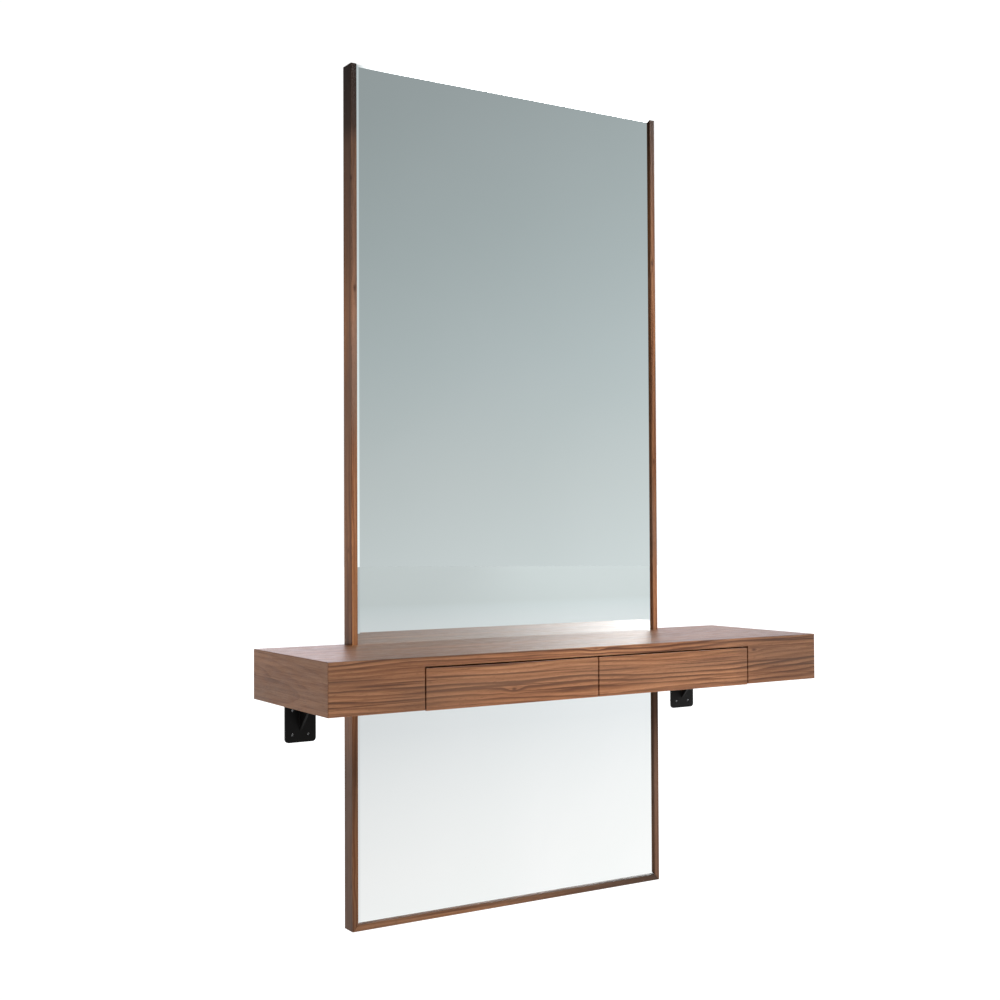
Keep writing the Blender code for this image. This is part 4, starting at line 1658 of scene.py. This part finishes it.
@dataclass
class Fixings:
    """Every screw of the station, by the direction in which it points."""

    screw: PanScrew = PanScrew()

    def build(self) -> None:
        """Builds every screw."""
        into_wall, into_frame, up = Vector((0, 1, 0)), Vector((0, -1, 0)), Vector((0, 0, 1))
        toward = {
            "wall_screw": into_wall,
            "wall_cleat_screw": into_wall,
            "frame_cleat_screw": into_frame,
            "leg_screw": up,
        }
        for node in sorted(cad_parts):
            for stem, direction in toward.items():
                if node.startswith(stem):
                    self.screw.build(node, direction)


# ---- Brackets ----------------------------------------------------------------------------------------
@dataclass
class WallBracket:
    """A welded angle bracket: wall plate, leg under the shelf, gusset and weld beads."""

    side: Side
    steel: float = 0.005
    corner: float = 0.008
    gusset_height: float = 0.072
    gusset_depth: float = 0.068
    easing: float = 0.0007
    bead: float = 0.0024
    bead_sides: int = 10
    ripple: float = 0.0026
    hole: float = 0.003

    def build(self) -> None:
        """Builds the bracket in one piece."""
        node = f"bracket_{self.side.word}"
        low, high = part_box(node)
        centre, half = (low.x + high.x) / 2, (high.x - low.x) / 2
        top = high.z
        thing = place_object(f"{node}_steel", self.plate(centre, half, low, top))
        carve(thing, self.leg(centre, half, low, top), "UNION")
        carve(thing, self.gusset(centre, top), "UNION")
        self.drill(thing)
        fill(thing, flatten(copied(thing)))
        ease(thing, self.easing, 3)
        welds = [self.weld(*run) for run in self.weld_runs(centre, half, top)]
        fill(thing, gather([copied(thing), *welds]))
        smooth(thing)
        coat(thing, POWDER_COAT)
        hand_over(thing, "root", Slot.BLACK, node)

    def plate(self, centre: float, half: float, low: Vector, top: float) -> Mesh:
        """The plate against the wall, with rounded lower corners."""
        outline = self.tongue(centre, half, low.z, top)
        return prism(outline, Axis.Y, -self.steel, 0.0)

    def leg(self, centre: float, half: float, low: Vector, top: float) -> Mesh:
        """The leg that carries the shelf, with a rounded front end."""
        outline = self.tongue(centre, half, low.y, -self.steel / 2)
        return prism(outline, Axis.Z, top - self.steel, top)

    def tongue(self, centre: float, half: float, tip: float, root: float) -> Outline:
        """A strip as wide as the bracket from its rounded tip to its root.

        Args:
            centre: Middle of the bracket on x.
            half: Half its width.
            tip: Place of the tip.
            root: Place of the root.

        Returns:
            The outline.
        """
        radius = self.corner
        end = arc((-half + radius, tip + radius), radius, 180, 270)
        end += arc((half - radius, tip + radius), radius, 270, 360)
        return [(centre + x, v) for x, v in end + [(half, root), (-half, root)]]

    def gusset(self, centre: float, top: float) -> Mesh:
        """The triangular web between plate and leg.

        Args:
            centre: Middle of the bracket on x.
            top: Height of its upper side.

        Returns:
            The closed mesh.
        """
        sunk = -self.steel / 2
        outline = [
            (sunk, top - self.steel / 2),
            (-self.gusset_depth, top - self.steel / 2),
            (-self.gusset_depth, top - self.steel),
            (-self.steel, -self.gusset_height),
            (sunk, -self.gusset_height),
        ]
        return prism(outline, Axis.X, centre - self.steel / 2, centre + self.steel / 2)

    def drill(self, thing: Piece) -> None:
        """Drills the holes that the bracket's screws pass through.

        Args:
            thing: The bracket.
        """
        for stem, axis in (("leg_screw", Axis.Z), ("wall_screw", Axis.Y)):
            for node in sorted(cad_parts):
                if node.startswith(f"{stem}_{self.side.word}"):
                    low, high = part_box(node)
                    x, y, z = (low + high) / 2
                    middle = (x, y) if axis is Axis.Z else (x, z)
                    outline = arc(middle, self.hole, 0, 345, 23)
                    carve(thing, prism(outline, axis, -self.steel - OVERCUT, OVERCUT))

    def weld_runs(self, centre: float, half: float, top: float) -> list[tuple[Vector, Vector]]:
        """The start and the end of every weld bead, in the inner corners of the bracket.

        Args:
            centre: Middle of the bracket on x.
            half: Half its width.
            top: Height of its upper side.

        Returns:
            Pairs of points.
        """
        under = top - self.steel
        wall = -self.steel
        near, far, aside = 0.004, 0.008, 0.002  # how short of each corner the beads stop
        runs = []
        for sign in (-1, 1):
            edge = centre + sign * self.steel / 2
            runs += [
                ((edge, wall, under - near), (edge, wall, far - self.gusset_height)),
                ((edge, wall - near, under), (edge, far - self.gusset_depth, under)),
                ((edge + sign * aside, wall, under), (centre + sign * (half - near), wall, under)),
            ]
        return [(Vector(start), Vector(end)) for start, end in runs]

    def weld(self, start: Vector, end: Vector) -> Mesh:
        """A rippled bead along a corner.

        Args:
            start: Where the bead starts.
            end: Where it ends.

        Returns:
            The closed mesh of the bead, half of which lies inside the steel.
        """
        run = end - start
        steps = max(8, int(run.length / self.ripple * 4))
        turn = Vector((0, 0, 1)).rotation_difference(run.normalized()).to_matrix()
        rings = []
        for i in range(steps + 1):
            share = i / steps
            phase = (share * run.length / self.ripple) % 1.0
            # The bead swells over each ripple and thins out at both ends.
            radius = self.bead * (0.86 + 0.20 * phase) * min(1.0, 0.35 + 9 * min(share, 1 - share))
            centre = start + run * share
            angles = [math.tau * k / self.bead_sides for k in range(self.bead_sides)]
            spokes = [Vector((radius * math.cos(a), radius * math.sin(a), 0.0)) for a in angles]
            rings.append([centre + turn @ spoke for spoke in spokes])
        return loft(rings)


# ---- Studio ------------------------------------------------------------------------------------------
def greys(*stops: Point) -> Stops:
    """Stops of a ramp from places and greys."""
    return [(place, (grey, grey, grey)) for place, grey in stops]


@dataclass
class Studio:
    """The floor, the light and the camera.

    Attributes:
        floor_drop: Height of the floor below the shelf.
        floor_radius: Size of the round floor.
        floor_colour: Its own colour, under its glow.
        fade_length: Distance in front of the wall over which the floor dims.
        white: The floor at the wall's foot, and the surround as the camera sees it.
        camera_place: Where the camera stands.
        yaw: How far the camera turns from the wall's normal towards +X, in radians.
        pitch: How far it looks up, in radians.
        roll: How far it leans, in radians.
        lens: Its focal length, in millimetres.
        sensor: Width of its sensor, in millimetres.
        clip: Nearest and farthest distance that it sees.
    """

    floor_drop: float = 0.766
    floor_radius: float = 40.0
    floor_colour: Colour = (0.06, 0.06, 0.06)
    fade_length: float = 16.0
    white: Colour = (1.03, 1.03, 1.03)
    camera_place: Triple = (-1.6892, -2.6754, 0.3412)
    yaw: float = 0.55906
    pitch: float = 0.02188
    roll: float = -0.00445
    lens: float = 50.0
    sensor: float = 36.0
    clip: Point = (0.05, 200.0)

    def build(self) -> None:
        """Builds the whole studio."""
        self.build_floor()
        self.build_world()
        self.build_camera()
        bpy.context.scene.view_settings.view_transform = "Standard"

    def build_floor(self) -> None:
        """Builds a pale round floor that glows, white at the wall's foot and falling off softly in front of
        the station; the glow is painted light.
        """
        mesh = bmesh.new()
        bmesh.ops.create_circle(mesh, cap_ends=True, segments=128, radius=self.floor_radius)
        floor = place_object("studio_floor", moved(mesh, Matrix.Translation((0, 0, -self.floor_drop))))
        sheet = Sheet.of_material("pale_floor")
        x, y, _ = sheet.parts(sheet.place())
        # Painted light: the floor's glow dims away from the wall and is a little brighter towards +X.
        ahead = sheet.maths("DIVIDE", y, -self.fade_length, clamp=True)
        colour = sheet.ramp(ahead, [
            (0.000, self.white),
            (0.030, (0.895, 0.885, 0.885)),
            (0.084, (0.850, 0.830, 0.830)),
            (0.262, (0.655, 0.658, 0.672)),
            (0.912, (0.442, 0.486, 0.490)),
            (1.000, (0.410, 0.450, 0.448)),
        ])
        sideways = sheet.maths("MULTIPLY_ADD", y, 0.62, x)
        evened = sheet.spread(sideways, -1.6, 1.6, 0.90, 1.10)
        sheet.dress(Base_Color=self.floor_colour, Roughness=0.9, Emission_Color=colour,
                    Emission_Strength=evened)
        floor.data.materials.append(sheet.owner)

    def build_world(self) -> None:
        """Builds the soft surround: grey above the room, white at its foot and behind the station."""
        world = bpy.data.worlds.new("studio")
        bpy.context.scene.world = world
        sheet = Sheet(world)
        direction = sheet.node("TexCoord", {}).outputs["Generated"]
        x, y, z = sheet.parts(direction)
        # The room by height, from its white foot to the grey overhead.
        height = sheet.maths("MULTIPLY_ADD", z, 0.5, 0.5)
        room = sheet.ramp(height, [
            (0.385, (0.945, 0.941, 0.942)),
            (0.432, (0.807, 0.813, 0.839)),
            (0.473, (0.660, 0.704, 0.712)),
            (0.518, (0.562, 0.604, 0.610)),
            (0.561, (0.468, 0.519, 0.531)),
            (0.602, (0.399, 0.447, 0.458)),
            (0.650, (0.342, 0.381, 0.391)),
            (0.700, (0.320, 0.350, 0.360)),
            (1.000, (0.360, 0.370, 0.370)),
        ])
        # Its brightness by direction, from one side of the room round to the other.
        turn = sheet.maths("ARCTAN2", x, sheet.maths("SUBTRACT", 0.0, y))
        sweep = sheet.ramp(sheet.maths("MULTIPLY_ADD", turn, 0.25, 0.5), greys(
            (0.270, 0.26), (0.420, 0.40), (0.480, 0.80), (0.540, 0.75),
            (0.585, 0.42), (0.640, 0.50), (0.700, 0.625), (0.780, 0.85),
        ))
        room = sheet.filtered(room, sweep)
        room = sheet.filtered(room, (2.0, 2.0, 2.0))
        # Two soft bright patches, a wide dim one and a narrow bright one, gloss the shelf's top.
        for light, across, (low, high) in (
            ((12.5, 12.5, 12.8), ((0.60, 0.66), (0.88, 0.98)), ((0.31, 0.335), (0.60, 0.75))),
            ((62.0, 62.5, 64.0), ((0.63, 0.70), (0.85, 0.91)), ((0.31, 0.335), (0.40, 0.45))),
        ):
            patch = sheet.scaled(sheet.band(turn, *across), sheet.band(z, low, high))
            room = sheet.tinted(patch, room, light)
        # The light behind the wall's plane, which only the sides of the station see.
        behind = sheet.ramp(x, [
            (0.00, (0.16, 0.16, 0.16)),
            (0.18, (0.55, 0.53, 0.57)),
            (0.26, (0.86, 0.83, 0.90)),
            (0.42, (0.94, 0.91, 0.99)),
            (0.55, (0.62, 0.62, 0.66)),
            (0.80, (0.56, 0.57, 0.62)),
        ])
        behind = sheet.filtered(behind, (2.10, 2.08, 2.09))
        camera_ray = sheet.node("LightPath", {}).outputs["Is Camera Ray"]
        behind = sheet.tinted(camera_ray, behind, self.white)
        colour = sheet.tinted(sheet.spread(y, -0.06, 0.06), room, behind)
        sheet.feed(sheet.surface.inputs["Color"], colour)

    def build_camera(self) -> None:
        """Builds the camera from its place and its three angles."""
        ahead = Vector((math.sin(self.yaw) * math.cos(self.pitch),
                        math.cos(self.yaw) * math.cos(self.pitch), math.sin(self.pitch)))
        right = Vector((math.cos(self.yaw), -math.sin(self.yaw), 0.0))
        up = right.cross(ahead)
        leaning = right * math.cos(self.roll) + up * math.sin(self.roll)
        upright = up * math.cos(self.roll) - right * math.sin(self.roll)
        data = bpy.data.cameras.new("front_left_view")
        data.lens = self.lens
        data.sensor_width = self.sensor
        data.clip_start, data.clip_end = self.clip
        camera = bpy.data.objects.new("front_left_view", data)
        bpy.context.scene.collection.objects.link(camera)
        turn = Matrix((leaning, upright, -ahead)).transposed()
        camera.matrix_world = Matrix.Translation(self.camera_place) @ turn.to_4x4()
        bpy.context.scene.camera = camera


def main() -> None:
    """Builds the station and its studio."""
    logging.basicConfig(level=logging.INFO, format="%(message)s")
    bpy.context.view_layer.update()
    Mirror().build()
    Cleats().build()
    case = ShelfCase()
    case.build()
    for side in Side:
        Drawer(side, case.front_walnut).build()
        DrawerSlides(side).build()
        WallBracket(side).build()
    Fixings().build()
    Studio().build()


if __name__ == "__main__":
    main()
